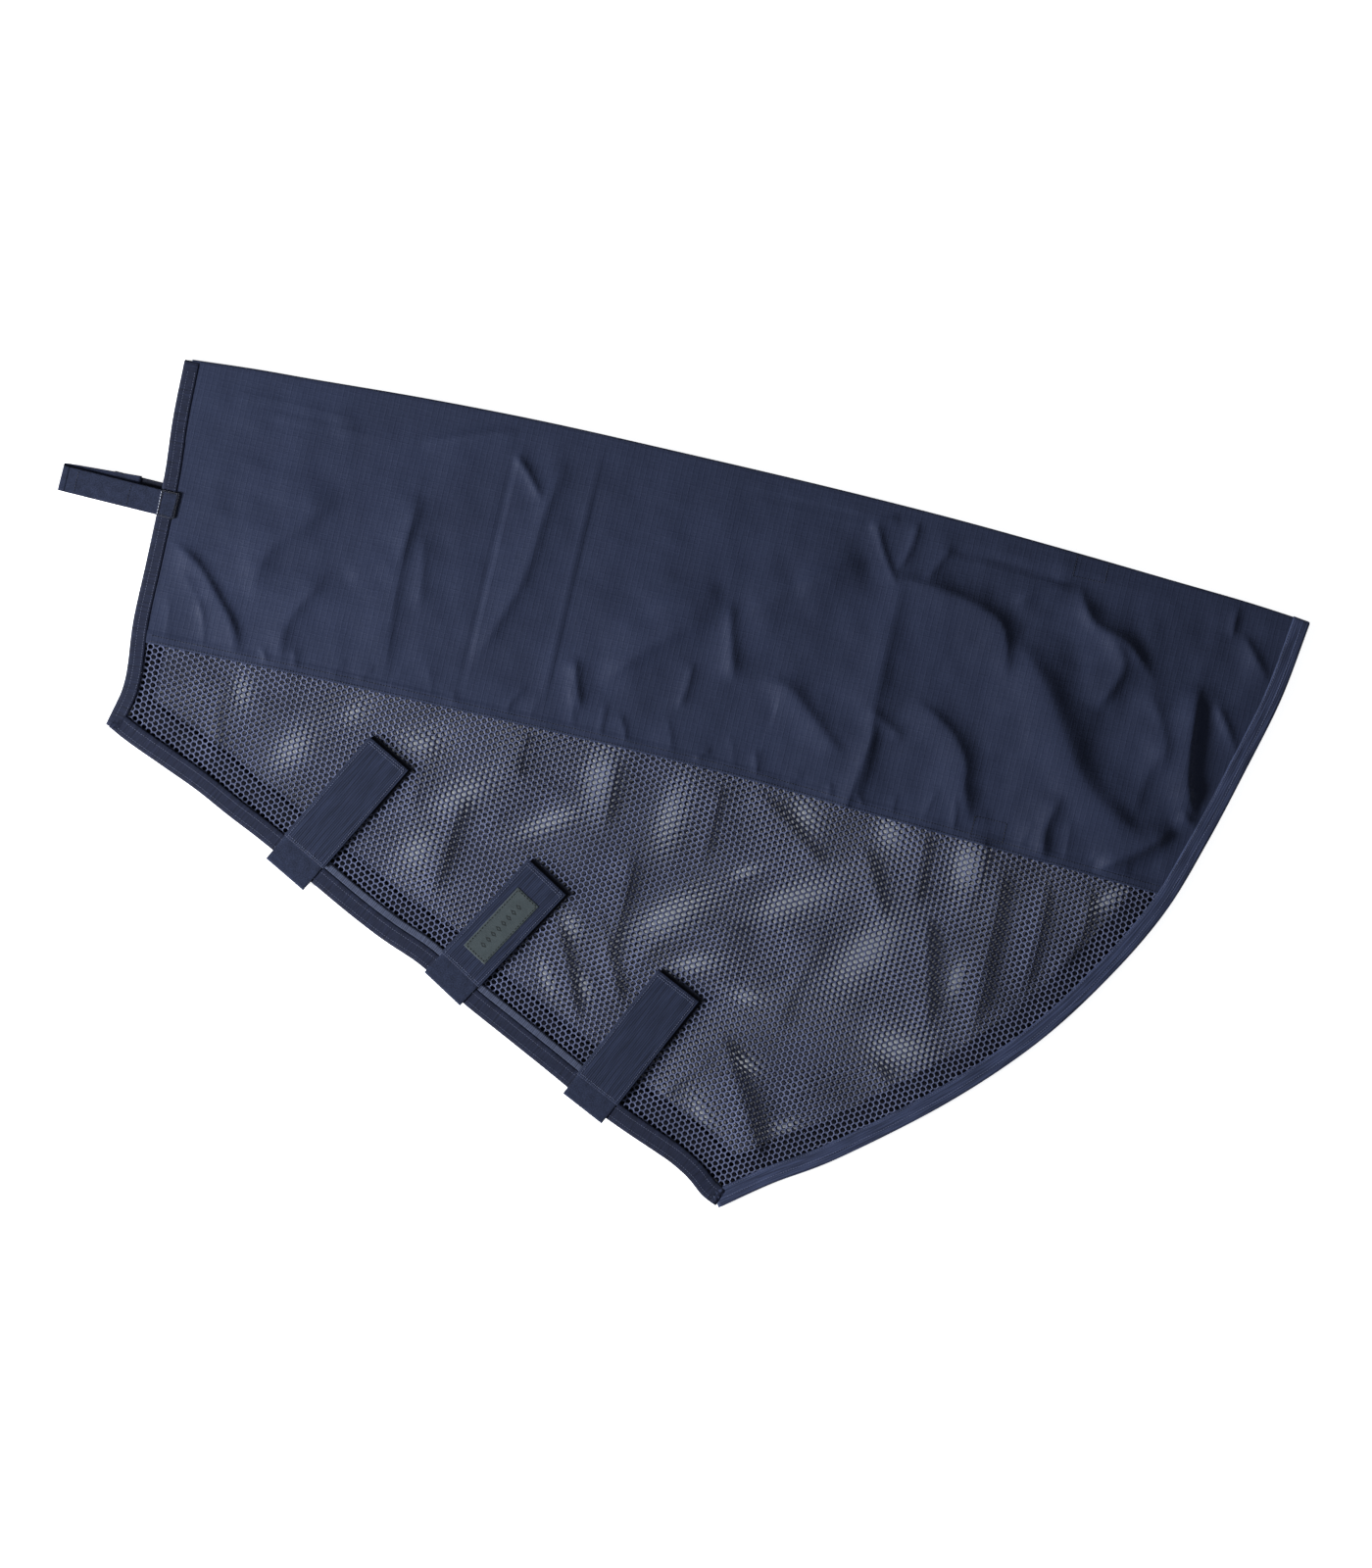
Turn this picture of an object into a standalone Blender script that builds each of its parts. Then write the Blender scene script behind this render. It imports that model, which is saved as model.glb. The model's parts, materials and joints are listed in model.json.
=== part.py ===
"""Neck cover of a light horse turnout rug, folded flat along its crest.

The cover is two mirrored halves joined along the crest. It lies on a floor with the far half
underneath and the near half on top, and each half is a cloth panel at the crest, a net panel
below it, and a folded binding tape round its edges. Three closing straps are sewn inside the
near half's throat edge and turned back over its outer face. A headcollar loop leaves the poll
edge, and short tabs between the halves fasten the cover to the body rug.

Units are metres, +Z is up, X runs along the crest from the poll to the withers, and the
origin is under the middle of the folded cover.
"""
import bpy
import bmesh
import numpy as np
from mathutils import Vector

# ---- Driving dimensions -------------------------------------------------------------------
GAP = 0.0003                 # clearance between neighbouring layers
CLOTH = 0.0006               # panel cloth, and each leg of a folded binding
TAPE = 0.0008                # woven strap, hook and loop tapes
BINDING_WIDTH = 0.020        # folded binding tape, seen from one side
BINDING_WEB = 0.0009         # binding cloth round the raw edge

LOOP_REACH = 0.097           # headcollar loop beyond the poll end of the crest
CREST_LENGTH = 1.177         # poll end to withers end
COVER_DEPTH = 0.729          # crest to the lowest point of the throat
SEAM_DOWN = 0.306            # seam between crest panel and net, below the crest
HEM_WIDTH = 0.014            # turned edge of the crest panel over the seam

STRAP_WIDTH = 0.050
STRAP_STATIONS = (0.237, 0.436, 0.624)   # strap folds along the throat edge from the poll
STRAP_LEANS = (0.041, 0.084, -0.006)     # each strap's drift towards the withers per metre inward
STRAP_FOLD_OUT = 0.006       # the straps' fold beyond the throat edge
STRAP_ROOT_LENGTH = 0.042    # sewn part inside the near half
STRAP_TAPE_LENGTH = 0.043    # loop tape from the fold to just under the cover
COVER_START = 0.026          # smooth cover's first edge from the fold
COVER_END = 0.157
COVER_MARGIN = 0.003         # cover beyond the hook tape at its free end
LANDING_WIDTH = 0.052
LANDING_END = 0.161
LABELLED_STRAP = 2
LABEL_SIZE = (0.081, 0.0325)
LABEL_MIDDLE = 0.0865        # label centre from the fold of the middle strap

LOOP_WIDTH = 0.026
LOOP_DOWN = 0.158            # loop's centre line below the crest
LOOP_HINGE_ALONG = 0.005     # loop's hinge at the poll binding's outer edge
LOOP_ROOT_END = 0.024
LOOP_RETURN_END = -0.017     # free end of the layer folded back underneath
LOWER_TAB_START = -0.045

TAB_WIDTH = 0.025
TAB_LENGTH = 0.130
CREST_TAB_ALONG = 0.931
SIDE_TAB_ALONG = 0.892
SIDE_TAB_DOWN = 0.288        # side tab's centre line below the crest

# ---- Layer heights, from the floor up -----------------------------------------------------
BINDING_HEIGHT = 2 * CLOTH + 2 * GAP + CLOTH
FAR_PANEL_Z = CLOTH + GAP
INNER_TAPE_Z = BINDING_HEIGHT + GAP
NEAR_BINDING_Z = INNER_TAPE_Z + TAPE + GAP
NEAR_PANEL_Z = NEAR_BINDING_Z + CLOTH + GAP
NEAR_FACE_Z = NEAR_PANEL_Z + CLOTH + GAP
STRAP_TAPE_Z = NEAR_BINDING_Z + BINDING_HEIGHT + GAP
HOOK_TAPE_Z = NEAR_FACE_Z + TAPE + GAP
COVER_Z = HOOK_TAPE_Z + TAPE + GAP
LABEL_Z = COVER_Z + CLOTH + GAP
LOOP_RETURN_Z = NEAR_BINDING_Z
FAR_TAB_Z = FAR_PANEL_Z + CLOTH + GAP
NEAR_TAB_Z = NEAR_PANEL_Z - GAP - TAPE

CREST_AXIS_Z = (BINDING_HEIGHT + NEAR_BINDING_Z) / 2
STRAP_AXIS_Z = (INNER_TAPE_Z + STRAP_TAPE_Z + TAPE) / 2
LOOP_AXIS_Z = STRAP_TAPE_Z + TAPE + GAP
LOOP_END_AXIS_Z = (LOOP_RETURN_Z + STRAP_TAPE_Z + TAPE) / 2

# ---- Outline of one half: distances along the crest and down from it -----------------------
POLL_EDGE = ((-0.003, 0.0), (0.005, 0.160), (0.012, 0.320), (0.007, 0.390))
SHOULDER_EDGE = ((1.177, 0.0), (1.163, 0.104), (1.123, 0.254), (1.070, 0.392),
                 (0.985, 0.513), (0.866, 0.630), (0.727, 0.729))
CURVE_STEPS = 4              # outline points for each stretch between two control points

POLL_X = LOOP_REACH - (LOOP_REACH + CREST_LENGTH) / 2
CREST_Y = COVER_DEPTH / 2
UP = Vector((0.0, 0.0, 1.0))

CLOTH_NAVY = (0.036, 0.044, 0.083)
NET_NAVY = (0.060, 0.072, 0.125)
TAPE_NAVY = (0.033, 0.040, 0.076)
LABEL_GREY = (0.070, 0.088, 0.100)


def spot(along, down):
    """World X and Y of a point given along the crest from the poll, and down from the crest."""
    return Vector((POLL_X + along, CREST_Y - down))


THROAT_START = spot(*POLL_EDGE[-1])
THROAT_END = spot(*SHOULDER_EDGE[-1])
THROAT_ALONG = (THROAT_END - THROAT_START).normalized()
THROAT_INWARD = Vector((-THROAT_ALONG.y, THROAT_ALONG.x))


def smooth_path(points, steps):
    """Points on a smooth curve through the control points: each stretch is a cubic whose end
    slopes are half the step between the neighbouring control points."""
    knots = np.array(points)
    padded = np.vstack((2 * knots[0] - knots[1], knots, 2 * knots[-1] - knots[-2]))
    path = []
    for i in range(1, len(padded) - 2):
        before, start, end, after = padded[i - 1:i + 3]
        for t in np.arange(steps) / steps:
            path.append(0.5 * (2 * start + (end - before) * t
                               + (2 * before - 5 * start + 4 * end - after) * t ** 2
                               + (3 * start - before - 3 * end + after) * t ** 3))
    path.append(knots[-1])
    return path


def half_outline():
    """One half's outer edge, counterclockwise from above, and the index of each corner."""
    poll = [spot(*p) for p in smooth_path(POLL_EDGE, CURVE_STEPS)]
    shoulder = [spot(*p) for p in smooth_path(SHOULDER_EDGE, CURVE_STEPS)]
    points = poll + shoulder[::-1]
    corners = {"poll": 0, "throat": len(poll) - 1, "tip": len(poll), "withers": len(points) - 1}
    return points, corners


def inset_outline(points, distances):
    """The outline with edge i moved inwards by distances[i]. Each corner goes to where its two
    moved edges meet, so a strip between two insets has mitred corners."""
    count = len(points)
    normals = []
    for i in range(count):
        edge = (points[(i + 1) % count] - points[i]).normalized()
        normals.append(Vector((-edge.y, edge.x)))
    moved = []
    for i in range(count):
        n1, n2 = normals[i - 1], normals[i]
        d1, d2 = distances[i - 1], distances[i]
        cross = n1.x * n2.y - n1.y * n2.x
        if abs(cross) < 1e-6:
            shift = n2 * d2
        else:
            shift = Vector(((d1 * n2.y - d2 * n1.y) / cross, (d2 * n1.x - d1 * n2.x) / cross))
        moved.append(points[i] + shift)
    return moved


def inset_half(distance, crest_distance):
    """One half's outline inset by distance, and by crest_distance along the crest."""
    points, corners = half_outline()
    distances = [distance] * len(points)
    distances[corners["withers"]] = crest_distance
    return inset_outline(points, distances)


def clip_below(points, level):
    """The part of an outline whose Y is no higher than level."""
    kept = []
    for i, start in enumerate(points):
        end = points[(i + 1) % len(points)]
        if start.y <= level:
            kept.append(start)
        if (start.y <= level) != (end.y <= level):
            kept.append(start.lerp(end, (level - start.y) / (end.y - start.y)))
    return kept


def clip_above(points, level):
    """The part of an outline whose Y is no lower than level."""
    flipped = clip_below([Vector((p.x, -p.y)) for p in points], -level)
    return [Vector((p.x, -p.y)) for p in flipped]


def binding_strip(first, last):
    """Outline of the binding between two corners of the half, trimmed clear of its neighbours."""
    points, corners = half_outline()
    inner = inset_half(BINDING_WIDTH, GAP)
    outer = inset_half(0.0, GAP)
    span = range(corners[first], corners[last] + 1)
    strip = [outer[i] for i in span] + [inner[i] for i in reversed(span)]
    ends = ((0, 1), (len(span) - 1, len(span) - 2),
            (len(span), len(span) + 1), (len(strip) - 1, len(strip) - 2))
    trimmed = list(strip)
    for end, neighbour in ends:
        trimmed[end] = strip[end] + (strip[neighbour] - strip[end]).normalized() * GAP
    return trimmed


def strap_spot(number, inward, along):
    """World X and Y of a point on a strap: inward from its fold, and along the throat edge. The
    strap leans as it runs inward, and its ends stay parallel to the throat edge."""
    station = STRAP_STATIONS[number - 1] + STRAP_LEANS[number - 1] * inward
    return (THROAT_START + THROAT_ALONG * (station + along)
            + THROAT_INWARD * (inward - STRAP_FOLD_OUT))


def strap_outline(number, start, end, width):
    """Outline of a strap layer between two distances inward from the fold."""
    half = width / 2
    corners = ((start, -half), (start, half), (end, half), (end, -half))
    return [strap_spot(number, inward, along) for inward, along in corners]


def crest_rectangle(along, down, length, width):
    """Rectangle with its long side parallel to the crest, centred on the given line."""
    low, high = down + width / 2, down - width / 2
    return [spot(along, low), spot(along + length, low),
            spot(along + length, high), spot(along, high)]


# ---- Scene, materials and construction helpers ---------------------------------------------
def clear_scene():
    """Remove every object from the scene."""
    for item in list(bpy.data.objects):
        bpy.data.objects.remove(item, do_unlink=True)


def make_collection(name):
    """A new collection in the scene."""
    collection = bpy.data.collections.new(name)
    bpy.context.scene.collection.children.link(collection)
    return collection


def make_material(name, colour, roughness):
    """A cloth-like Principled material."""
    material = bpy.data.materials.new(name)
    material.use_nodes = True
    shader = material.node_tree.nodes["Principled BSDF"]
    shader.inputs["Base Color"].default_value = (*colour, 1.0)
    shader.inputs["Roughness"].default_value = roughness
    shader.inputs["Metallic"].default_value = 0.0
    return material


def joint_empty(name, x, y, z, parent=None):
    """An empty on a joint's axis, which the pieces moved by that joint are parented to."""
    empty = bpy.data.objects.new(name, None)
    empty.empty_display_size = 0.03
    parts.objects.link(empty)
    empty.location = Vector((x, y, z)) - (world_place(parent) if parent else Vector())
    empty.parent = parent
    return empty


def world_place(item):
    """World position of an object whose parents are only moved, not turned."""
    place = Vector(item.location)
    while item.parent:
        item = item.parent
        place += item.location
    return place


def flat_curve(name, outline, low, thickness, collection):
    """A flat piece: its outline as a filled 2D curve, extruded to its thickness above low."""
    curve = bpy.data.curves.new(name, "CURVE")
    curve.dimensions = "2D"
    curve.fill_mode = "BOTH"
    curve.extrude = thickness / 2
    spline = curve.splines.new("POLY")
    spline.points.add(len(outline) - 1)
    for point, place in zip(spline.points, outline):
        point.co = (place.x, place.y, 0.0, 1.0)
    spline.use_cyclic_u = True
    piece = bpy.data.objects.new(name, curve)
    piece.location.z = low + thickness / 2
    collection.objects.link(piece)
    return piece


def as_mesh(piece):
    """The flat piece as a welded mesh object of the same name and place."""
    name, place, collection = piece.name, piece.location.copy(), piece.users_collection[0]
    bpy.context.view_layer.update()
    mesh = bpy.data.meshes.new_from_object(piece.evaluated_get(
        bpy.context.evaluated_depsgraph_get()))
    bpy.data.objects.remove(piece, do_unlink=True)
    work = bmesh.new()
    work.from_mesh(mesh)
    bmesh.ops.remove_doubles(work, verts=work.verts, dist=1e-6)
    work.to_mesh(mesh)
    work.free()
    solid = bpy.data.objects.new(name, mesh)
    solid.location = place
    collection.objects.link(solid)
    return solid


def dress(piece, material, axis):
    """Give a piece its material, and hang it on the empty of the joint that moves it."""
    piece.data.materials.clear()
    piece.data.materials.append(material)
    if axis:
        piece.parent = axis
        piece.location = piece.location - world_place(axis)
    return piece


def flat_piece(name, outline, low, thickness, material, axis=None):
    """A flat cloth or tape piece."""
    return dress(flat_curve(name, outline, low, thickness, parts), material, axis)


def folded_binding(name, first, last, low, material, axis=None):
    """Binding tape folded round an edge: a strip with a slot that holds the panel's edge."""
    strip = as_mesh(flat_curve(name, binding_strip(first, last), low, BINDING_HEIGHT, parts))
    slot = as_mesh(flat_curve(name + "_slot", inset_half(BINDING_WEB, -BINDING_WIDTH),
                              low + CLOTH, CLOTH + 2 * GAP, cutters))
    slot.hide_render = True
    slot.display_type = "WIRE"
    if axis:
        slot.parent = axis
        slot.location = slot.location - world_place(axis)
    cut = strip.modifiers.new("slot", "BOOLEAN")
    cut.operation = "DIFFERENCE"
    cut.object = slot
    return dress(strip, material, axis)


# ---- The halves ----------------------------------------------------------------------------
def make_half(side, panel_z, hem_z, binding_z, axis):
    """Panels, turned seam and bindings of one half."""
    panel = inset_half(BINDING_WEB + GAP, 2 * GAP)
    seam_y = CREST_Y - SEAM_DOWN
    flat_piece("crest_panel_" + side, clip_above(panel, seam_y + GAP / 2),
               panel_z, CLOTH, cloth, axis)
    flat_piece("mesh_panel_" + side, clip_below(panel, seam_y - GAP / 2),
               panel_z, CLOTH, net, axis)
    inside = inset_half(BINDING_WIDTH + 2 * GAP, 0.0)
    hem = clip_below(clip_above(inside, seam_y - GAP), seam_y - GAP + HEM_WIDTH)
    flat_piece("seam_hem_" + side, hem, hem_z, CLOTH - GAP / 3, cloth, axis)
    for edge, first, last in (("poll", "poll", "throat"), ("throat", "throat", "tip"),
                              ("shoulder", "tip", "withers")):
        folded_binding(edge + "_binding_" + side, first, last, binding_z, tape, axis)


def make_rug_tabs(side, low, axis):
    """Tabs inside one half that fasten the cover to the body rug."""
    crest_tab = crest_rectangle(CREST_TAB_ALONG, TAB_WIDTH / 2 + 0.004, TAB_LENGTH, TAB_WIDTH)
    side_tab = crest_rectangle(SIDE_TAB_ALONG, SIDE_TAB_DOWN, TAB_LENGTH, TAB_WIDTH)
    flat_piece("crest_tab_" + side, crest_tab, low, TAPE, tape, axis)
    flat_piece("side_tab_" + side, side_tab, low, TAPE, tape, axis)


def make_strap(number, near_axis):
    """One closing strap with the tapes it fastens to on both halves."""
    label = "_" + str(number)
    fold = strap_spot(number, 0.0, 0.0)
    axis = joint_empty("strap_axis" + label, fold.x, fold.y, STRAP_AXIS_Z, near_axis)
    landing = strap_outline(number, STRAP_FOLD_OUT + BINDING_WIDTH + 0.002, LANDING_END,
                            LANDING_WIDTH)
    flat_piece("strap_root" + label, strap_outline(number, 0.0, STRAP_ROOT_LENGTH, STRAP_WIDTH),
               INNER_TAPE_Z, TAPE, tape, near_axis)
    flat_piece("landing_patch_near" + label, landing, NEAR_FACE_Z, TAPE, tape, near_axis)
    flat_piece("landing_patch_far" + label, landing, 0.0, CLOTH, tape)
    flat_piece("strap_tape" + label,
               strap_outline(number, GAP, STRAP_TAPE_LENGTH, STRAP_WIDTH),
               STRAP_TAPE_Z, TAPE, tape, axis)
    flat_piece("hook_tape" + label,
               strap_outline(number, STRAP_TAPE_LENGTH + GAP, COVER_END - COVER_MARGIN,
                             STRAP_WIDTH - COVER_MARGIN),
               HOOK_TAPE_Z, TAPE, tape, axis)
    flat_piece("strap_cover" + label,
               strap_outline(number, COVER_START, COVER_END, STRAP_WIDTH),
               COVER_Z, CLOTH, tape, axis)
    return axis


def make_label(number, axis):
    """Plain woven label on a strap's cover."""
    length, width = LABEL_SIZE
    outline = strap_outline(number, LABEL_MIDDLE - length / 2, LABEL_MIDDLE + length / 2, width)
    flat_piece("label_patch", outline, LABEL_Z, TAPE, label_cloth, axis)


def make_headcollar_loop(near_axis):
    """Loop at the poll edge: sewn root, outer tape, and the layer folded back under it."""
    hinge = spot(LOOP_HINGE_ALONG, LOOP_DOWN)
    fold = spot(-LOOP_REACH, LOOP_DOWN)
    loop_axis = joint_empty("headcollar_loop_axis", hinge.x, hinge.y, LOOP_AXIS_Z, near_axis)
    end_axis = joint_empty("headcollar_loop_end_axis", fold.x, fold.y, LOOP_END_AXIS_Z, loop_axis)
    pieces = (
        ("loop_root_tab", LOOP_HINGE_ALONG + GAP, LOOP_ROOT_END, STRAP_TAPE_Z, near_axis),
        ("loop_lower_tab", LOWER_TAB_START, LOOP_ROOT_END, INNER_TAPE_Z, near_axis),
        ("loop_tape", -LOOP_REACH, LOOP_HINGE_ALONG - GAP, STRAP_TAPE_Z, loop_axis),
        ("loop_return_tape", -LOOP_REACH, LOOP_RETURN_END, LOOP_RETURN_Z, end_axis),
    )
    for name, start, end, low, axis in pieces:
        flat_piece(name, crest_rectangle(start, LOOP_DOWN, end - start, LOOP_WIDTH), low, TAPE,
                   tape, axis)


clear_scene()
parts = make_collection("turnout_rug_neck_cover")
cutters = make_collection("cutters")
cloth = make_material("crest_cloth", CLOTH_NAVY, 0.55)
net = make_material("hexagonal_net", NET_NAVY, 0.60)
tape = make_material("woven_tape", TAPE_NAVY, 0.75)
label_cloth = make_material("label_cloth", LABEL_GREY, 0.60)

crest_axis = joint_empty("crest_fold_axis", 0.0, CREST_Y, CREST_AXIS_Z)
make_half("far", FAR_PANEL_Z, 0.0, 0.0, None)
make_half("near", NEAR_PANEL_Z, NEAR_FACE_Z, NEAR_BINDING_Z, crest_axis)
make_rug_tabs("far", FAR_TAB_Z, None)
make_rug_tabs("near", NEAR_TAB_Z, crest_axis)
strap_axes = {number: make_strap(number, crest_axis)
              for number in range(1, len(STRAP_STATIONS) + 1)}
make_label(LABELLED_STRAP, strap_axes[LABELLED_STRAP])
make_headcollar_loop(crest_axis)
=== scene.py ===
"""The looks of a horse rug's neck cover, folded flat along its crest.

Plan measures are in millimetres: "along" runs from the poll end to the withers end, "down" runs
from the crest's hinge line to the throat, and "height" runs up from the floor. One Plan object
turns them into the frame's metres.
"""

import json
import logging
import math
from collections.abc import Sequence
from dataclasses import dataclass
from enum import Enum

import bmesh
import bpy
import numpy as np
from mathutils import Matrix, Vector

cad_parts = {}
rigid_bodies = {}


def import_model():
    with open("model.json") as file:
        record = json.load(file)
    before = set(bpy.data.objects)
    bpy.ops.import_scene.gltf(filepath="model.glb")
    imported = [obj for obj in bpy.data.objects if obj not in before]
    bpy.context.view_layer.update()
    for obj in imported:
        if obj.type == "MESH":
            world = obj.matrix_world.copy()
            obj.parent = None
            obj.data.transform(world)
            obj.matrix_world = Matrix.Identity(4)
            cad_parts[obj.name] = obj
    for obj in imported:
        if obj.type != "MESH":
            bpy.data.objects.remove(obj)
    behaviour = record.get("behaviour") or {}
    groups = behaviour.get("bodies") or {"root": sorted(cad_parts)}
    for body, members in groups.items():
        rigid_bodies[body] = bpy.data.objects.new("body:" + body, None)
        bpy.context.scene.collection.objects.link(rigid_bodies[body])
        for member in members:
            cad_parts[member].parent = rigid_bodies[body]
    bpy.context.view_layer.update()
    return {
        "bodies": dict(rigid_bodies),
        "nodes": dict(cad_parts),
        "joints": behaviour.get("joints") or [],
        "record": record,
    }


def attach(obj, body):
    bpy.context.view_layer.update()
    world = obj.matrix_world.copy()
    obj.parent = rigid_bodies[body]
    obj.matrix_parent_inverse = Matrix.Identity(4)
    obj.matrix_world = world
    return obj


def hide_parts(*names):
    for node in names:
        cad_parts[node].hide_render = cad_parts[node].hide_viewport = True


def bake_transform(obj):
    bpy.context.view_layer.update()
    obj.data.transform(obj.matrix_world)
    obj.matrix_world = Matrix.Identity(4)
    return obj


LOG = logging.getLogger("neck_cover")
MM = 0.001
SEED = 2411
COVER_MIDDLE = (560.0, 250.0)
FLOOR_GAP = 0.02

Array = np.ndarray
Piece = bpy.types.Object
Points = tuple[tuple[float, float], ...]

# Edges of the cover as it lies, as (along, down) stations that a smooth line runs through.
POLL_EDGE: Points = (
    (-2, 10), (0, 72), (5, 132), (7, 212), (8, 282), (13, 330), (13, 354), (9, 374), (5, 392),
)
THROAT_EDGE: Points = (
    (5, 392), (30, 404), (70, 420), (110, 436), (150, 455), (190, 473), (250, 503), (290, 523),
    (330, 541), (370, 556), (400, 572), (430, 588), (470, 607), (510, 626), (545, 643), (580, 660),
    (610, 673), (650, 688), (670, 696), (690, 707), (708, 721), (727, 729),
)
SHOULDER_EDGE: Points = (
    (1178, 8), (1167, 92), (1148, 172), (1127, 252), (1101, 332), (1059, 412),
    (1004, 492), (929, 572), (834, 652), (775, 692), (727, 729),
)
CREST_LINE: Points = (
    (-2, 10), (70, 4), (130, 0.5), (250, -7), (370, -11.5), (500, -12.8), (660, -13), (790, -11),
    (910, -6.5), (1030, -0.5), (1110, 3.5), (1178, 9),
)
SEAM_LINE: Points = ((0, 302), (250, 297), (585, 295.5), (817, 304), (1120, 316))

# Heights of the layers above the floor.
FAR_PANEL_LEVEL = 1.0
FAR_NET_LEVEL = 1.5
FAR_FACING_LEVEL = 2.0
FAR_TAB_LEVEL = 2.3
ROOT_LEVEL = 3.1
NEAR_TAB_LEVEL = 3.65
RETURN_LEVEL = 4.2
NEAR_NET_LEVEL = 4.4
NEAR_PANEL_LEVEL = 5.0
LANDING_LEVEL = 5.85
STRAP_LEVEL = 6.9
COVER_LEVEL = 8.1
LABEL_LEVEL = 9.15
FAR_BINDING_LEVEL = 1.2
NEAR_BINDING_LEVEL = 5.0
BINDING_WIDTH = 20.0
BINDING_THICKNESS = 2.3


# ---------------- plan and curves


@dataclass(frozen=True)
class Plan:
    """Frame X of the crest's poll end and frame Y of its hinge line, in metres."""

    poll_x: float
    hinge_y: float

    @classmethod
    def from_frame(cls, frame: dict) -> "Plan":
        """The plan that the frame's crest joint and loop joint give."""
        joints = {joint["name"]: joint for joint in frame["joints"]}
        hinge_along = 5.0 * MM
        loop_x = joints["headcollar_loop_swing"]["pos_m"][0]
        return cls(poll_x=loop_x - hinge_along, hinge_y=joints["crest_fold"]["pos_m"][1])

    def place(self, along: Array, down: Array, height: Array) -> Array:
        """Frame points in metres, along the last axis, of plan measures in millimetres."""
        along, down, height = np.broadcast_arrays(along, down, height)
        x = self.poll_x + along * MM
        y = self.hinge_y - down * MM
        return np.stack([x, y, height * MM], axis=-1)


def smooth_line(stations: Sequence[Sequence[float]], step: float) -> Array:
    """An even polyline through stations.

    A Catmull-Rom curve runs through the stations: each stretch is the cubic that leaves a station
    along the line between its neighbours. It is then resampled at equal arc lengths.

    Args:
        stations: points of any dimension.
        step: spacing of the points, in the stations' unit.

    Returns:
        Points one step apart, with both ends kept.
    """
    knots = np.asarray(stations, float)
    padded = np.vstack([2 * knots[0] - knots[1], knots, 2 * knots[-1] - knots[-2]])
    t = np.linspace(0, 1, 24, endpoint=False)[None, :, None]
    a, b, c, d = (padded[k : k + len(knots) - 1, None, :] for k in range(4))
    curve = 0.5 * (
        2 * b + (c - a) * t + (2 * a - 5 * b + 4 * c - d) * t**2 + (3 * b - a - 3 * c + d) * t**3
    )
    line = np.vstack([curve.reshape(-1, knots.shape[1]), knots[-1]])
    return even_line(line, step)


def even_line(line: Array, step: float) -> Array:
    """The polyline resampled at equal arc lengths about one step apart."""
    length = arc_lengths(line)
    count = max(2, round(length[-1] / step) + 1)
    return sample(np.linspace(0, length[-1], count), length, line)


def sample(at: Array, length: Array, line: Array) -> Array:
    """Points of a polyline at lengths along it, mixed from its own points on either side."""
    return np.stack([np.interp(at, length, column) for column in line.T], axis=1)


def arc_lengths(line: Array) -> Array:
    """Length along a polyline at each of its points, from 0."""
    return np.concatenate([[0.0], np.cumsum(np.linalg.norm(np.diff(line, axis=0), axis=1))])


def unit(vectors: Array) -> Array:
    """The vectors at length one."""
    return vectors / np.maximum(np.linalg.norm(vectors, axis=-1, keepdims=True), 1e-12)


def smoothstep(value: Array, low: float, high: float) -> Array:
    """0 below low, 1 above high and the cubic 3t^2 - 2t^3 between."""
    t = np.clip((value - low) / (high - low), 0, 1)
    return t * t * (3 - 2 * t)


def distance_to(line: Array, points: Array) -> Array:
    """Distance of each point from a polyline, by its nearest point on each stretch."""
    best = np.full(len(points), np.inf)
    for start, end in zip(line[:-1], line[1:]):
        run = end - start
        share = np.clip((points - start) @ run / max(run @ run, 1e-9), 0, 1)
        best = np.minimum(best, np.linalg.norm(points - start - share[:, None] * run, axis=1))
    return best


@dataclass
class Outline:
    """The cover's edges as smooth lines in plan, with points one step apart."""

    step: float = 5.0

    def __post_init__(self) -> None:
        """Draws the lines."""
        stations = (POLL_EDGE, THROAT_EDGE, SHOULDER_EDGE, CREST_LINE, SEAM_LINE)
        self.poll, self.throat, self.shoulder, self.crest, self.seam = (
            smooth_line(line, self.step) for line in stations
        )

    def crest_down(self, along: Array) -> Array:
        """How far down the crest's fold lies at each place along."""
        return np.interp(along, *self.crest.T)

    def seam_down(self, along: Array) -> Array:
        """How far down the panel's lower edge lies at each place along."""
        return np.interp(along, *self.seam.T)

    def poll_along(self, down: Array) -> Array:
        """Where the poll edge lies at each place down."""
        return np.interp(down, *self.poll.T[::-1])

    def shoulder_along(self, down: Array) -> Array:
        """Where the shoulder edge lies at each place down."""
        return np.interp(down, *self.shoulder.T[::-1])

    def inside(self, points: Array) -> Array:
        """Which (along, down) points lie between the poll, shoulder and throat edges."""
        along, down = points[:, 0], points[:, 1]
        throat = np.interp(along, self.throat[:, 0], self.throat[:, 1])
        above = (down < throat) | (along > self.throat[-1, 0])
        right = along > self.poll_along(down)
        return above & right & (along < self.shoulder_along(down)) & (down < THROAT_EDGE[-1][1])

    def edge_distance(self, points: Array) -> Array:
        """Distance of each (along, down) point from the nearest bound edge."""
        edges = (self.poll, self.throat, self.shoulder)
        return np.min([distance_to(edge, points) for edge in edges], axis=0)


# ---------------- folds in the cloth


class FoldShape(Enum):
    """How a fold's height falls off to its two sides."""

    ROLL = "roll"
    CREASE = "crease"


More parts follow.
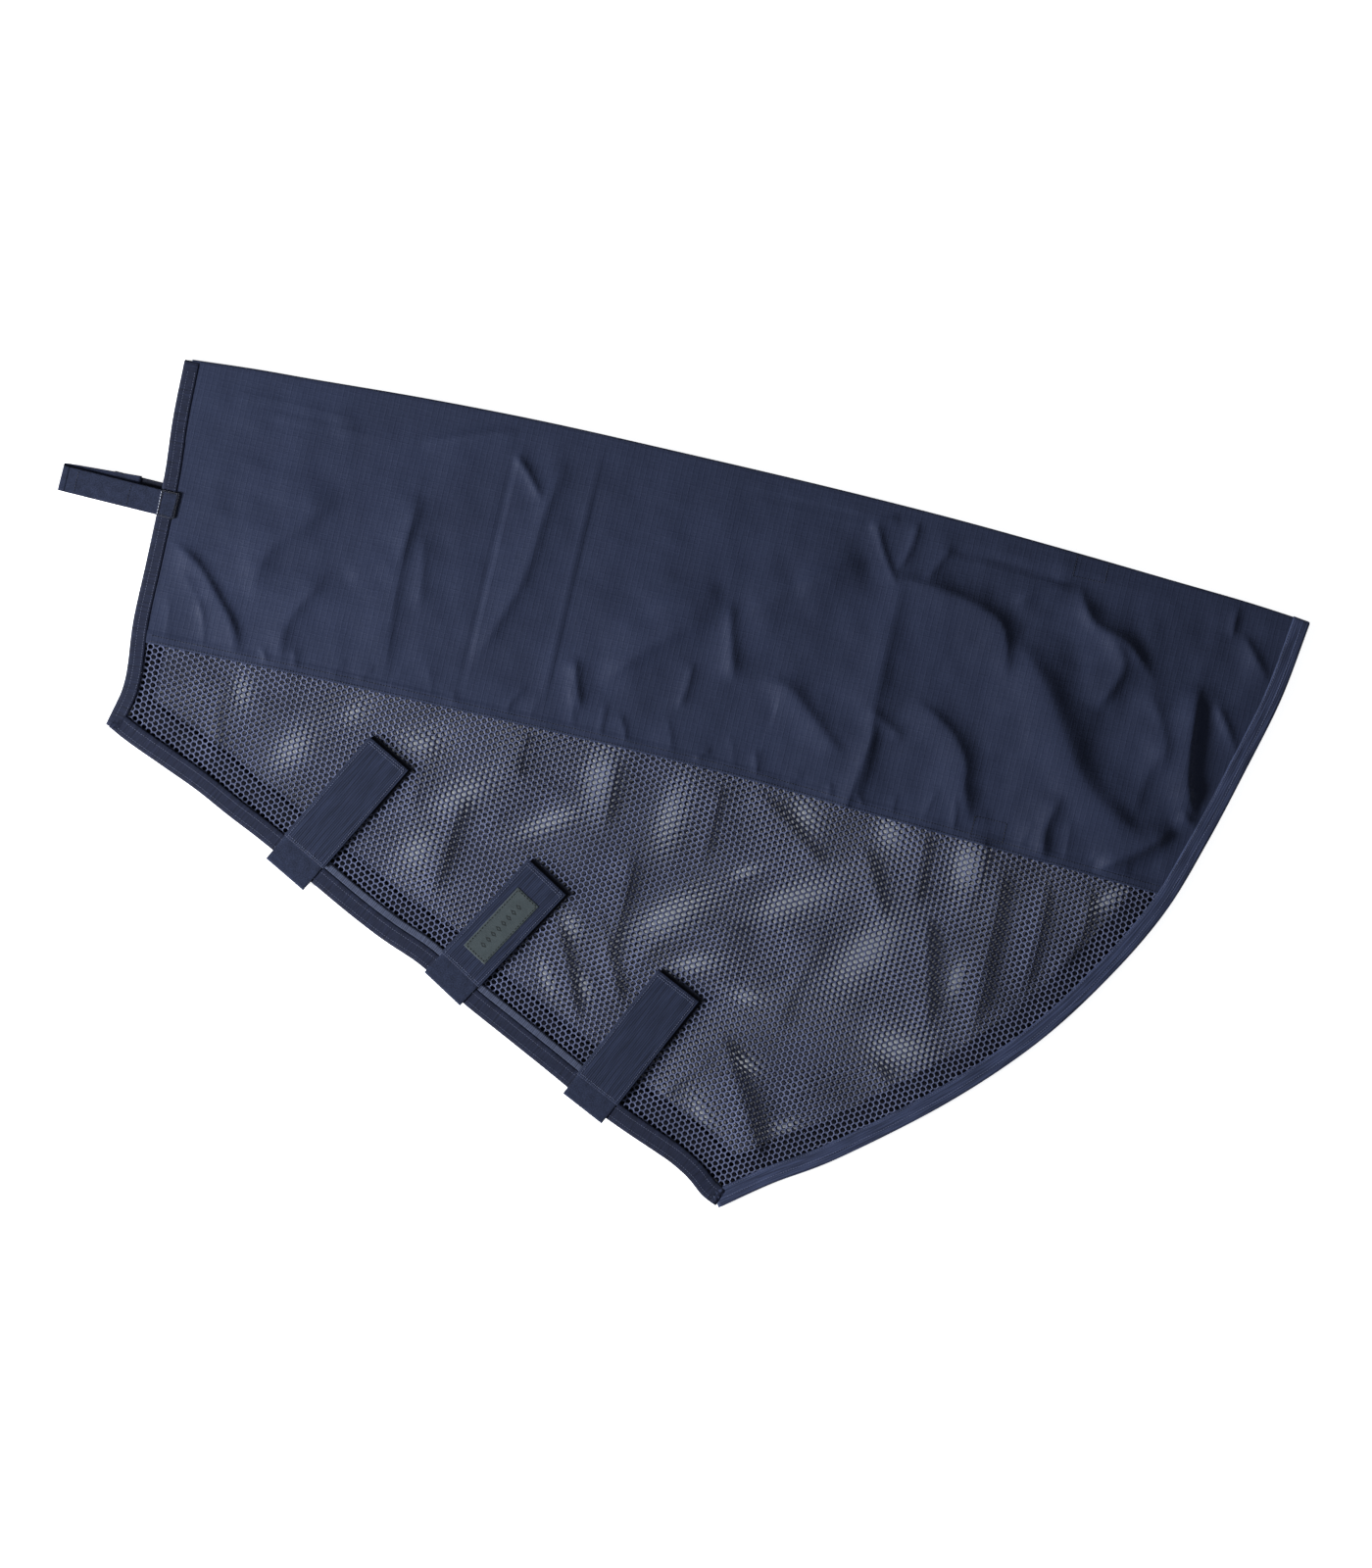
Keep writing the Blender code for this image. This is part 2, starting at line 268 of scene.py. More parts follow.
@dataclass(frozen=True)
class Fold:
    """One fold in the cloth.

    Attributes:
        path: (along, down) stations of its top line.
        height: height of its top line, negative for a groove.
        left: reach to the left of a path that runs down.
        right: reach to the right of a path that runs down.
        shape: roll or crease.
    """

    path: Points
    height: float
    left: float
    right: float
    shape: FoldShape = FoldShape.ROLL

    def add_to(self, grid: Array, low: Array, lift: float) -> None:
        """Adds the fold to a grid of heights one millimetre apart.

        The height at a point is the top line's height, tapered to nothing at both ends, times
        exp(-1.6 (sqrt(q^2 + r^2) - r)) with r = 0.22 for a roll, or exp(1 - sqrt(1 + 9 q^2)) for
        a crease, where q is the distance from the line over the reach on that side.

        Args:
            grid: heights by (down, along), changed in place.
            low: (along, down) of the grid's first entry.
            lift: how many times its own height the fold stands.
        """
        line = smooth_line(self.path, 9.0)
        reach = 3.0 * max(self.left, self.right)
        first = np.maximum(np.floor(line.min(0) - reach - low).astype(int), 0)
        last = np.ceil(line.max(0) + reach - low).astype(int)
        window = grid[first[1] : last[1], first[0] : last[0]]
        if window.size == 0:
            return
        down, along = np.mgrid[0 : window.shape[0], 0 : window.shape[1]]
        along = along + first[0] + low[0]
        down = down + first[1] + low[1]
        best = np.full(window.shape, np.inf)
        side = np.zeros(window.shape)
        share = np.zeros(window.shape)
        lengths = arc_lengths(line)
        for k, (start, end) in enumerate(zip(line[:-1], line[1:])):
            run = end - start
            at = ((along - start[0]) * run[0] + (down - start[1]) * run[1]) / (run @ run)
            at = np.clip(at, 0, 1)
            dx = along - start[0] - at * run[0]
            dy = down - start[1] - at * run[1]
            far = dx * dx + dy * dy
            nearer = far < best
            best = np.where(nearer, far, best)
            side = np.where(nearer, dx * run[1] - dy * run[0], side)
            share = np.where(nearer, (lengths[k] + at * (lengths[k + 1] - lengths[k])), share)
        share = share / lengths[-1]
        width = np.where(side > 0, self.right, self.left)
        q = np.sqrt(best) / width
        if self.shape is FoldShape.ROLL:
            fall = np.exp(-1.6 * (np.sqrt(q * q + 0.05) - 0.22)) * smoothstep(-q, -3.0, -1.2)
        else:
            fall = np.exp(1 - np.sqrt(1 + 9 * q * q))
        taper = smoothstep(np.minimum(share, 1 - share), 0.0, 0.28)
        window += lift * self.height * fall * taper


CREASE = FoldShape.CREASE

PANEL_FOLDS: tuple[Fold, ...] = (
    Fold(((350, -20), (350, 120), (350, 305)), -0.6, 10, 3, CREASE),
    Fold(((435, -20), (434, 130), (435, 305)), 0.6, 14, 4, CREASE),
    Fold(((260, 60), (263, 198), (274, 300)), 1.1, 30, 7),
    Fold(((16, 190), (57, 210), (88, 241), (111, 268), (124, 300)), 2.0, 26, 6),
    Fold(((40, 218), (66, 244), (84, 276)), 0.4, 12, 6),
    Fold(((190, 100), (154, 148), (125, 183), (116, 238)), 2.4, 40, 16),
    Fold(((195, 180), (161, 252), (166, 300)), 1.8, 24, 12),
    Fold(((208, 194), (231, 175), (262, 163)), 1.0, 10, 14),
    Fold(((345, 25), (366, 44), (388, 70)), 1.6, 8, 6),
    Fold(((403, 10), (392, 79), (386, 148), (366, 214), (352, 255)), 2.0, 18, 12),
    Fold(((250, 40), (300, 20), (352, 2)), 1.0, 8, 6),
    Fold(((50, 34), (120, 31), (200, 33)), 0.5, 10, 6),
    Fold(((60, 48), (130, 45), (230, 43)), 0.4, 10, 6),
    Fold(((513, 158), (548, 136), (590, 112)), 1.4, 10, 20),
    Fold(((600, 140), (559, 160), (520, 196), (484, 240)), 2.8, 26, 16),
    Fold(((602, 150), (655, 100), (722, 48)), 2.8, 50, 16),
    Fold(((470, 196), (530, 164), (590, 118)), 1.2, 20, 24),
    Fold(((574, 190), (574, 215), (570, 246)), 1.3, 8, 7),
    Fold(((268, 90), (262, 130), (257, 175)), 1.2, 14, 10),
    Fold(((275, 124), (284, 165), (290, 210)), 1.1, 14, 10),
    Fold(((455, 212), (462, 238), (474, 270)), 2.0, 12, 8),
    Fold(((596, 120), (606, 160), (620, 208)), 2.6, 14, 12),
    Fold(((640, 205), (672, 196), (712, 226), (756, 262)), 2.8, 26, 14),
    Fold(((655, 96), (690, 74), (728, 54)), 1.8, 22, 22),
    Fold(((585, 10), (650, 9), (726, 9)), -0.8, 7, 3, CREASE),
    Fold(((716, 20), (731, 8), (748, 0)), 1.4, 7, 5),
    Fold(((722, 8), (738, 40), (762, 74)), 1.6, 9, 6),
    Fold(((766, -6), (763, 32), (753, 60)), 1.5, 9, 6),
    Fold(((798, 22), (860, 22), (940, 29)), -1.3, 5, 10, CREASE),
    Fold(((940, 28), (898, 44), (876, 66)), 1.7, 10, 9),
    Fold(((806, 14), (794, 40), (784, 62)), 1.3, 8, 7),
    Fold(((740, 62), (800, 64), (850, 74), (876, 92), (890, 150)), 4.4, 40, 11),
    Fold(((762, 40), (762, 150), (765, 232)), 2.8, 44, 17),
    Fold(((770, 208), (764, 262), (757, 318)), 2.6, 24, 7),
    Fold(((763, 190), (770, 240), (766, 302)), 2.0, 10, 12),
    Fold(((884, 92), (918, 124), (950, 168), (976, 208), (1010, 238), (1076, 272)), 10.0, 40, 20),
    Fold(((976, 66), (1002, 96), (984, 150)), 3.6, 22, 11),
    Fold(((936, 22), (962, 60), (1002, 74), (1040, 108)), 3.6, 16, 10),
    Fold(((1082, 92), (1086, 152), (1094, 200), (1114, 240)), 6.4, 28, 8),
    Fold(((1092, 226), (1108, 238), (1132, 244)), 2.6, 9, 7),
    Fold(((1070, 150), (1050, 200), (1046, 250)), 2.6, 30, 16),
    Fold(((1094, 244), (1068, 270), (1018, 308)), 5.6, 18, 9),
    Fold(((972, 236), (962, 276), (968, 312)), 4.4, 18, 10),
    Fold(((796, 176), (842, 200), (866, 228), (872, 256), (890, 296)), 4.2, 34, 11),
    Fold(((756, 196), (778, 208), (804, 222)), 1.6, 12, 9),
    Fold(((1100, 108), (1120, 134), (1142, 166)), 2.0, 10, 7),
    Fold(((1110, 32), (1132, 58), (1156, 84)), 1.7, 10, 7),
    Fold(((1104, 4), (1102, 24), (1104, 46)), 1.4, 7, 6),
    Fold(((1030, 110), (1060, 160), (1064, 206)), 2.2, 24, 12),
)

NET_FOLDS: tuple[Fold, ...] = (
    Fold(((380, 368), (372, 430), (368, 496)), 4.2, 22, 9),
    Fold(((500, 350), (444, 362), (396, 414)), 4.0, 14, 13),
    Fold(((518, 296), (522, 340), (524, 388)), 3.4, 20, 8),
    Fold(((558, 386), (560, 450), (554, 526)), 3.6, 20, 9),
    Fold(((490, 466), (518, 520), (548, 590)), 3.2, 16, 7),
    Fold(((536, 456), (560, 506), (590, 566)), 3.2, 16, 7),
    Fold(((628, 296), (630, 350), (628, 402)), 2.6, 16, 7),
    Fold(((654, 300), (704, 332), (762, 376)), 3.8, 20, 10),
    Fold(((782, 330), (802, 366), (826, 410)), 4.0, 20, 10),
    Fold(((844, 300), (848, 350), (850, 394)), 3.4, 18, 8),
    Fold(((862, 380), (876, 440), (894, 514)), 5.6, 26, 10),
    Fold(((926, 306), (932, 400), (936, 512)), 6.0, 24, 11),
    Fold(((974, 310), (978, 380), (976, 456)), 4.0, 18, 10),
    Fold(((584, 516), (602, 482), (640, 460), (700, 444)), 5.5, 14, 13),
    Fold(((650, 514), (700, 500), (740, 474)), 2.6, 12, 8),
    Fold(((684, 548), (718, 606), (762, 680)), 6.0, 26, 10),
    Fold(((694, 572), (664, 604), (636, 640)), 4.0, 14, 8),
    Fold(((758, 610), (798, 578), (844, 554), (876, 576)), 4.2, 14, 10),
    Fold(((776, 420), (752, 480), (740, 548)), 3.4, 24, 14),
    Fold(((120, 312), (112, 350), (126, 406)), 2.4, 20, 10),
    Fold(((1020, 316), (1022, 372), (1002, 428)), 3.4, 16, 8),
    Fold(((428, 296), (422, 330), (432, 358)), 2.2, 14, 7),
    Fold(((336, 324), (326, 372), (332, 418)), 2.6, 18, 10),
    Fold(((904, 296), (908, 340), (902, 386)), 3.0, 14, 7),
)

# Each strap's fold, its direction inward, and where its cover starts and ends.
STRAP_RUNS = (
    ((217.9, 499.0), (0.463, -0.886), (30.0, 163.0)),
    ((401.2, 576.0), (0.500, -0.866), (26.5, 156.5)),
    ((568.3, 661.9), (0.420, -0.907), (24.0, 159.0)),
)


@dataclass
class Relief:
    """The near half's ups and downs, as heights on a grid one millimetre apart.

    Attributes:
        outline: the cover's edges.
        ceiling: greatest height.
        panel_lift: how many times their own height the panel's folds stand.
        net_lift: the same for the net's folds.
        pucker_spacing: mean distance between the gathers along the seam.
    """

    outline: Outline
    ceiling: float = 13.0
    panel_lift: float = 1.7
    net_lift: float = 2.1
    pucker_spacing: float = 35.0
    low: tuple[float, float] = (-30.0, -30.0)
    size: tuple[int, int] = (790, 1240)

    def __post_init__(self) -> None:
        """Adds up mounds, folds, gathers and ripples, and lays them down at the bound edges."""
        random = np.random.default_rng(SEED)
        grid = np.zeros(self.size)
        for folds, lift in ((PANEL_FOLDS, self.panel_lift), (NET_FOLDS, self.net_lift)):
            for fold in folds:
                fold.add_to(grid, self.low, lift)
        for pucker in self.gathers(random):
            pucker.add_to(grid, self.low, 1.0)
        down, along = np.mgrid[0 : self.size[0], 0 : self.size[1]].astype(float)
        along += self.low[0]
        down += self.low[1]
        grid += self.mound(along, down) + self.ripples(along, down, random)
        grid = np.where(grid < 0, grid * 0.6, grid)
        grid = self.ceiling * np.tanh(grid / self.ceiling)
        grid *= self.edge_hold(along, down)
        self.grid = np.maximum(grid, -0.3)

    def gathers(self, random: np.random.Generator) -> tuple[Fold, ...]:
        """Short puckers above the seam, where the net's knit draws the cloth in."""
        count = int(1060 / self.pucker_spacing)
        base = 40 + self.pucker_spacing * (np.arange(count) + random.uniform(-0.32, 0.32, count))
        puckers = []
        for along in base:
            foot = float(self.outline.seam_down(along)) - 4
            rise = random.uniform(14, 56)
            lean = random.uniform(-18, 18)
            path = ((along + lean, foot - rise), (along + lean * 0.3, foot - rise / 2), (along, foot))
            height = random.uniform(0.25, 1.35)
            puckers.append(Fold(path, height, random.uniform(4, 8), random.uniform(3, 5)))
            under = ((along, foot), (along - lean * 0.4, foot + 34), (along - lean, foot + 62))
            puckers.append(Fold(under, height * 0.7, 9, 7))
        return tuple(puckers)

    def mound(self, along: Array, down: Array) -> Array:
        """Broad slow rises: one over the middle of the panel and a higher one at its right."""
        broad = 1.2 * np.exp(-(((along - 560) / 300) ** 2) - ((down - 190) / 130) ** 2)
        right = 2.6 * np.exp(-(((along - 900) / 150) ** 2) - ((down - 200) / 170) ** 2)
        net = 1.2 * np.exp(-(((along - 700) / 230) ** 2) - ((down - 470) / 120) ** 2)
        return broad + right + net

    def ripples(self, along: Array, down: Array, random: np.random.Generator) -> Array:
        """A sum of slanted sine waves of 16 to 70 mm, stronger toward the withers."""
        total = np.zeros_like(along)
        for _ in range(16):
            length = random.uniform(16, 70)
            angle = random.uniform(0, math.pi)
            phase = random.uniform(0, 2 * math.pi)
            across = along * math.cos(angle) + down * math.sin(angle)
            bend = 9 * np.sin(2 * math.pi * (down * math.cos(angle) - along) / 210 + phase)
            total += 0.0022 * length * np.sin(2 * math.pi * (across + bend) / length + phase)
        return total * (0.75 + 0.6 * smoothstep(along, 500, 1100))

    def edge_hold(self, along: Array, down: Array) -> Array:
        """How freely the cloth lifts: little at the bound edges and crest, wholly further in."""
        step = 10
        shape = along[::step, ::step].shape
        coarse = np.stack([along[::step, ::step].ravel(), down[::step, ::step].ravel()], axis=1)
        gap = self.outline.edge_distance(coarse)
        gap = np.where(self.outline.inside(coarse), gap, -gap)
        spots = np.indices(along.shape) / step
        gap = bilinear(gap.reshape(shape), *spots)
        press = bilinear(self.press(coarse).reshape(shape), *spots)
        crest = down - self.outline.crest_down(along)
        top = 0.12 + 0.88 * smoothstep(crest, 2, 22)
        return (0.10 + 0.90 * smoothstep(gap, 6, 42)) * top * smoothstep(gap, -12, 6) * press

    def press(self, points: Array) -> Array:
        """How freely the cloth lifts near the straps, which lie flat and hold it down."""
        free = np.ones(len(points))
        for start, ahead, (_, high) in STRAP_RUNS:
            line = np.array(start) + np.outer([0.0, high], unit(np.array(ahead)))
            free = np.minimum(free, 0.15 + 0.85 * smoothstep(distance_to(line, points), 27, 48))
        return free

    def at(self, along: Array, down: Array) -> Array:
        """Height of the relief at plan places."""
        return bilinear(self.grid, down - self.low[1], along - self.low[0])


def bilinear(grid: Array, row: Array, col: Array) -> Array:
    """Grid values at fractional rows and columns, each mixed from its four neighbours."""
    row = np.clip(row, 0, grid.shape[0] - 1.001)
    col = np.clip(col, 0, grid.shape[1] - 1.001)
    r, c = row.astype(int), col.astype(int)
    fr, fc = row - r, col - c
    top = grid[r, c] * (1 - fc) + grid[r, c + 1] * fc
    low = grid[r + 1, c] * (1 - fc) + grid[r + 1, c + 1] * fc
    return top * (1 - fr) + low * fr


# ---------------- mesh making


def signed_volume(points: Array, face_sets: Sequence[Array]) -> float:
    """Volume inside closed faces, negative where they point inward, as the sum of a.(b x c)/6."""
    total = 0.0
    for faces in face_sets:
        for k in range(1, faces.shape[1] - 1):
            a, b, c = points[faces[:, 0]], points[faces[:, k]], points[faces[:, k + 1]]
            total += float((a * np.cross(b, c)).sum()) / 6
    return total


def build_piece(name: str, points: Array, face_sets: Sequence[Array], uv: Array) -> Piece:
    """A smooth-shaded object whose place is in its mesh.

    Args:
        name: the piece's name.
        points: (n, 3) corners in metres.
        face_sets: arrays of faces, each with one number of corners.
        uv: (n, 2) pattern place of each corner, in metres of cloth.

    Returns:
        The linked object, with its faces pointing outward.
    """
    points = np.asarray(points, float).reshape(-1, 3)
    sets = [np.asarray(faces, np.int32) for faces in face_sets if len(faces)]
    centred = points - points.mean(0)
    if signed_volume(centred, sets) < 0:
        sets = [faces[:, ::-1] for faces in sets]
    corners = np.concatenate([faces.ravel() for faces in sets])
    sizes = np.concatenate([np.full(len(faces), faces.shape[1]) for faces in sets])
    starts = np.concatenate([[0], np.cumsum(sizes)[:-1]])
    mesh = bpy.data.meshes.new(name)
    mesh.vertices.add(len(points))
    mesh.vertices.foreach_set("co", points.astype(np.float32).ravel())
    mesh.loops.add(len(corners))
    mesh.loops.foreach_set("vertex_index", corners.astype(np.int32))
    mesh.polygons.add(len(sizes))
    mesh.polygons.foreach_set("loop_start", starts.astype(np.int32))
    mesh.polygons.foreach_set("use_smooth", np.ones(len(sizes), bool))
    mesh.update(calc_edges=True)
    layer = mesh.uv_layers.new(name="cloth")
    layer.data.foreach_set("uv", np.asarray(uv, np.float32)[corners].ravel())
    mesh.validate()
    piece = bpy.data.objects.new(name, mesh)
    bpy.context.scene.collection.objects.link(piece)
    LOG.info("%s: %d faces", name, len(sizes))
    return piece


def grid_faces(rows: int, cols: int, start: int = 0, wrap: bool = False) -> Array:
    """Quads of a grid of points numbered row by row from start; wrap joins the last column."""
    index = start + np.arange(rows * cols).reshape(rows, cols)
    right = np.roll(index, -1, axis=1)
    if not wrap:
        index, right = index[:, :-1], right[:, :-1]
    quads = np.stack([index[:-1], index[1:], right[1:], right[:-1]], axis=-1)
    return quads.reshape(-1, 4)


def slab(name: str, top: Array, bottom: Array, uv: Array) -> Piece:
    """A closed sheet between two grids of points, joined by quads round its rim.

    Args:
        name: the piece's name.
        top: (rows, cols, 3) outer points.
        bottom: the matching inner points.
        uv: (rows, cols, 2) pattern places, shared by both faces.

    Returns:
        The object.
    """
    rows, cols = top.shape[:2]
    count = rows * cols
    index = np.arange(count).reshape(rows, cols)
    ring = np.concatenate([index[0, :-1], index[:-1, -1], index[-1, :0:-1], index[:0:-1, 0]])
    after = np.roll(ring, -1)
    rim = np.stack([ring, after, after + count, ring + count], axis=1)
    under = grid_faces(rows, cols, count)[:, ::-1]
    points = np.concatenate([top.reshape(-1, 3), bottom.reshape(-1, 3)])
    flat = np.asarray(uv).reshape(-1, 2)
    return build_piece(name, points, [grid_faces(rows, cols), rim, under], np.vstack([flat, flat]))


def tape_profile(width: float, thickness: float, across: int) -> Array:
    """A flat tape's section as a closed ring.

    Its broad faces have evenly spaced points and its edges are half circles.

    Args:
        width: overall width.
        thickness: overall thickness.
        across: points on each broad face.

    Returns:
        (n, 2) places across and through the tape.
    """
    half, r = width / 2 - thickness / 2, thickness / 2
    flat = np.linspace(-half, half, across)
    turn = np.linspace(math.pi / 2, -math.pi / 2, 5)[1:-1]
    right = np.stack([half + r * np.cos(turn), r * np.sin(turn)], axis=1)
    left = np.stack([-half - r * np.cos(turn), -r * np.sin(turn)], axis=1)
    top = np.stack([flat, np.full(across, r)], axis=1)
    low = np.stack([flat[::-1], np.full(across, -r)], axis=1)
    return np.concatenate([top, right, low, left])


def sweep_grid(centres: Array, across: Array, up: Array, profile: Array) -> Array:
    """Section points carried along a path: each is centre + across * x + up * y.

    Args:
        centres: (n, 3) path.
        across: (n, 3) unit vectors across the tape.
        up: (n, 3) unit vectors through the tape.
        profile: (m, 2) section.

    Returns:
        (n, m, 3) points.
    """
    x = across[:, None, :] * profile[None, :, :1]
    y = up[:, None, :] * profile[None, :, 1:]
    return centres[:, None, :] + x + y


def tube(name: str, rings: Array, lengths: Array, profile: Array) -> Piece:
    """A closed piece from rings of points, its ends closed by fans.

    Args:
        name: the piece's name.
        rings: (n, m, 3) points in metres.
        lengths: (n,) place along the cloth of each ring, in millimetres.
        profile: (m, 2) section, whose first column gives the place across.

    Returns:
        The object.
    """
    count, around = rings.shape[:2]
    points = rings.reshape(-1, 3)
    ends = np.stack([rings[0].mean(0), rings[-1].mean(0)])
    first = np.arange(around)
    after = np.roll(first, -1)
    hub = np.full(around, count * around)
    base = (count - 1) * around
    cap_a = np.stack([hub, after, first], axis=1)
    cap_b = np.stack([hub + 1, base + first, base + after], axis=1)
    body = grid_faces(count, around, wrap=True)[:, ::-1]
    u = np.repeat(lengths, around) * MM
    v = np.tile(profile[:, 0], count) * MM
    uv = np.vstack([np.stack([u, v], axis=1), [[lengths[0] * MM, 0], [lengths[-1] * MM, 0]]])
    if signed_volume(points - points.mean(0), [body]) < 0:
        body = body[:, ::-1]
    points = np.vstack([points, ends])
    inside = rings[[1, -2]].mean(1)
    caps = [facing(points, cap, out) for cap, out in zip((cap_a, cap_b), ends - inside)]
    return build_piece(name, points, [body, *caps], uv)


def facing(points: Array, cap: Array, outward: Array) -> Array:
    """The cap's triangles, turned round if they point against outward."""
    a, b, c = (points[cap[:, k]] for k in range(3))
    return cap if np.cross(b - a, c - a).sum(0) @ outward > 0 else cap[:, ::-1]


def stitch_run(
    points: Array, normals: Array, pitch: float = 2.9, length: float = 2.1, girth: float = 0.34
) -> tuple[Array, Array]:
    """Short raised stitches along a line.

    Each stitch is a six-ring spindle of four sides: its half width is girth * sqrt(1 - x^2) at a
    share x of its half length.

    Args:
        points: (n, 3) line in millimetres of the frame.
        normals: (n, 3) outward directions.
        pitch: distance between stitches.
        length: length of a stitch.
        girth: half width of a stitch.

    Returns:
        Points in millimetres and quads.
    """
    lengths = arc_lengths(points)
    count = max(1, int(lengths[-1] / pitch))
    at = (np.arange(count) + 0.5) * lengths[-1] / count
    place = sample(at, lengths, points)
    up = unit(sample(at, lengths, normals))
    run = unit(sample(at + 0.5, lengths, points) - sample(at - 0.5, lengths, points))
    side = unit(np.cross(up, run))
    share = np.array([-1.0, -0.72, 0.0, 0.72, 1.0])
    half = girth * np.sqrt(np.maximum(1 - share**2, 0.03))
    turn = np.arange(4) * math.pi / 2 + math.pi / 4
    x = np.repeat(share * length / 2, 4)
    y, z = np.outer(half, np.cos(turn)).ravel(), np.outer(half, np.sin(turn)).ravel()
    made = place[:, None] + run[:, None] * x[:, None] + side[:, None] * y[:, None] + up[:, None] * z[:, None]
    body = np.vstack([grid_faces(len(share), 4, wrap=True), [[3, 2, 1, 0], [16, 17, 18, 19]]])
    faces = body[None] + (np.arange(count) * len(x))[:, None, None]
    return made.reshape(-1, 3), faces.reshape(-1, 4)


def stitches(name: str, runs: Sequence[tuple[Array, Array]]) -> Piece:
    """One piece from many stitch runs, given in millimetres."""
    points, faces, start = [], [], 0
    for made, quads in runs:
        points.append(made)
        faces.append(quads + start)
        start += len(made)
    place = np.concatenate(points) * MM
    return build_piece(name, place, [np.concatenate(faces)], place[:, :2])


# ---------------- finishes


Socket = bpy.types.NodeSocket
Colour = tuple[float, float, float]


def shade(colour: Sequence[float], factor: float) -> Colour:
    """The colour made lighter or darker by a factor."""
    return tuple(min(1.0, channel * factor) for channel in colour)


class NodeSketch:
    """Adds linked shader nodes to one new material."""

    def __init__(self, name: str) -> None:
        """Starts a material of that name with a lone shader."""
        self.material = bpy.data.materials.new(name)
        self.material.use_nodes = True
        self.tree = self.material.node_tree
        self.tree.nodes.clear()
        output = self.node("OutputMaterial")
        self.shader = self.node("BsdfPrincipled")
        self.link(self.shader.outputs["BSDF"], output.inputs["Surface"])

    def node(self, kind: str, **inputs: float) -> bpy.types.Node:
        """A new node of that kind, with some of its inputs set."""
        node = self.tree.nodes.new("ShaderNode" + kind)
        for name, value in inputs.items():
            node.inputs[name].default_value = value
        return node

    def link(self, source: Socket, target: Socket) -> None:
        """Joins two sockets."""
        self.tree.links.new(source, target)

    def paint(self, colour: Socket) -> None:
        """Gives the shader its colour."""
        self.link(colour, self.shader.inputs["Base Color"])

    def math(self, operation: str, a: object, b: object = 0.0) -> Socket:
        """A Math node's result for two sockets or numbers."""
        node = self.node("Math")
        node.operation = operation
        for socket, value in zip(node.inputs, (a, b)):
            if isinstance(value, (int, float)):
                socket.default_value = value
            else:
                self.link(value, socket)
        return node.outputs[0]

    def blend(self, *parts: tuple[Socket, float]) -> Socket:
        """The sum of sockets, each times its share."""
        total = None
        for socket, share in parts:
            part = socket if share == 1 else self.math("MULTIPLY", socket, share)
            total = part if total is None else self.math("ADD", total, part)
        return total

    def cloth_place(self) -> tuple[Socket, Socket, Socket]:
        """The cloth's own place: the whole vector, along and across."""
        node = self.node("UVMap")
        node.uv_map = "cloth"
        split = self.node("SeparateXYZ")
        self.link(node.outputs[0], split.inputs[0])
        return node.outputs[0], split.outputs[0], split.outputs[1]

    def waves(self, place: Socket, period: float) -> Socket:
        """A sine of that period in metres, between 0 and 1."""
        wave = self.math("SINE", self.math("MULTIPLY", place, 2 * math.pi / period))
        return self.math("MULTIPLY", self.math("ADD", wave, 1.0), 0.5)

    def noise(self, place: Socket, size: float, detail: float = 2.0, stretch: Colour = (1, 1, 1)) -> Socket:
        """Noise with features of that size in metres, stretched by axis."""
        shape = self.node("Mapping", Scale=tuple(1.0 / (size * axis) for axis in stretch))
        self.link(place, shape.inputs["Vector"])
        node = self.node("TexNoise", Scale=1.0, Detail=detail)
        self.link(shape.outputs[0], node.inputs["Vector"])
        return node.outputs["Fac"]

    def ramp(self, factor: Socket, colour: Colour, shades: tuple[float, float], ends: tuple[float, float]) -> Socket:
        """The colour from one shade to another as the factor goes from end to end."""
        node = self.node("ValToRGB")
        for element, tint, place in zip(node.color_ramp.elements, shades, ends):
            element.position = place
            element.color = (*shade(colour, tint), 1.0)
        self.link(factor, node.inputs[0])
        return node.outputs[0]

    def finish(self, rough: tuple[Socket, float, float], gloss: tuple[float, float], bump: tuple) -> bpy.types.Material:
        """Sets roughness, gloss and relief.

        Args:
            rough: a socket, its share, and the roughness it is added to.
            gloss: specular level and sheen.
            bump: a height's socket, its depth in metres and its strength.

        Returns:
            The material.
        """
        value = self.math("ADD", self.math("MULTIPLY", rough[0], rough[1]), rough[2])
        self.link(value, self.shader.inputs["Roughness"])
        for name, level in zip(("Specular IOR Level", "Sheen Weight", "Sheen Roughness"), (*gloss, 0.5)):
            self.shader.inputs[name].default_value = level
        node = self.node("Bump", Distance=bump[1], Strength=bump[2])
        self.link(bump[0], node.inputs["Height"])
        self.link(node.outputs[0], self.shader.inputs["Normal"])
        return self.material


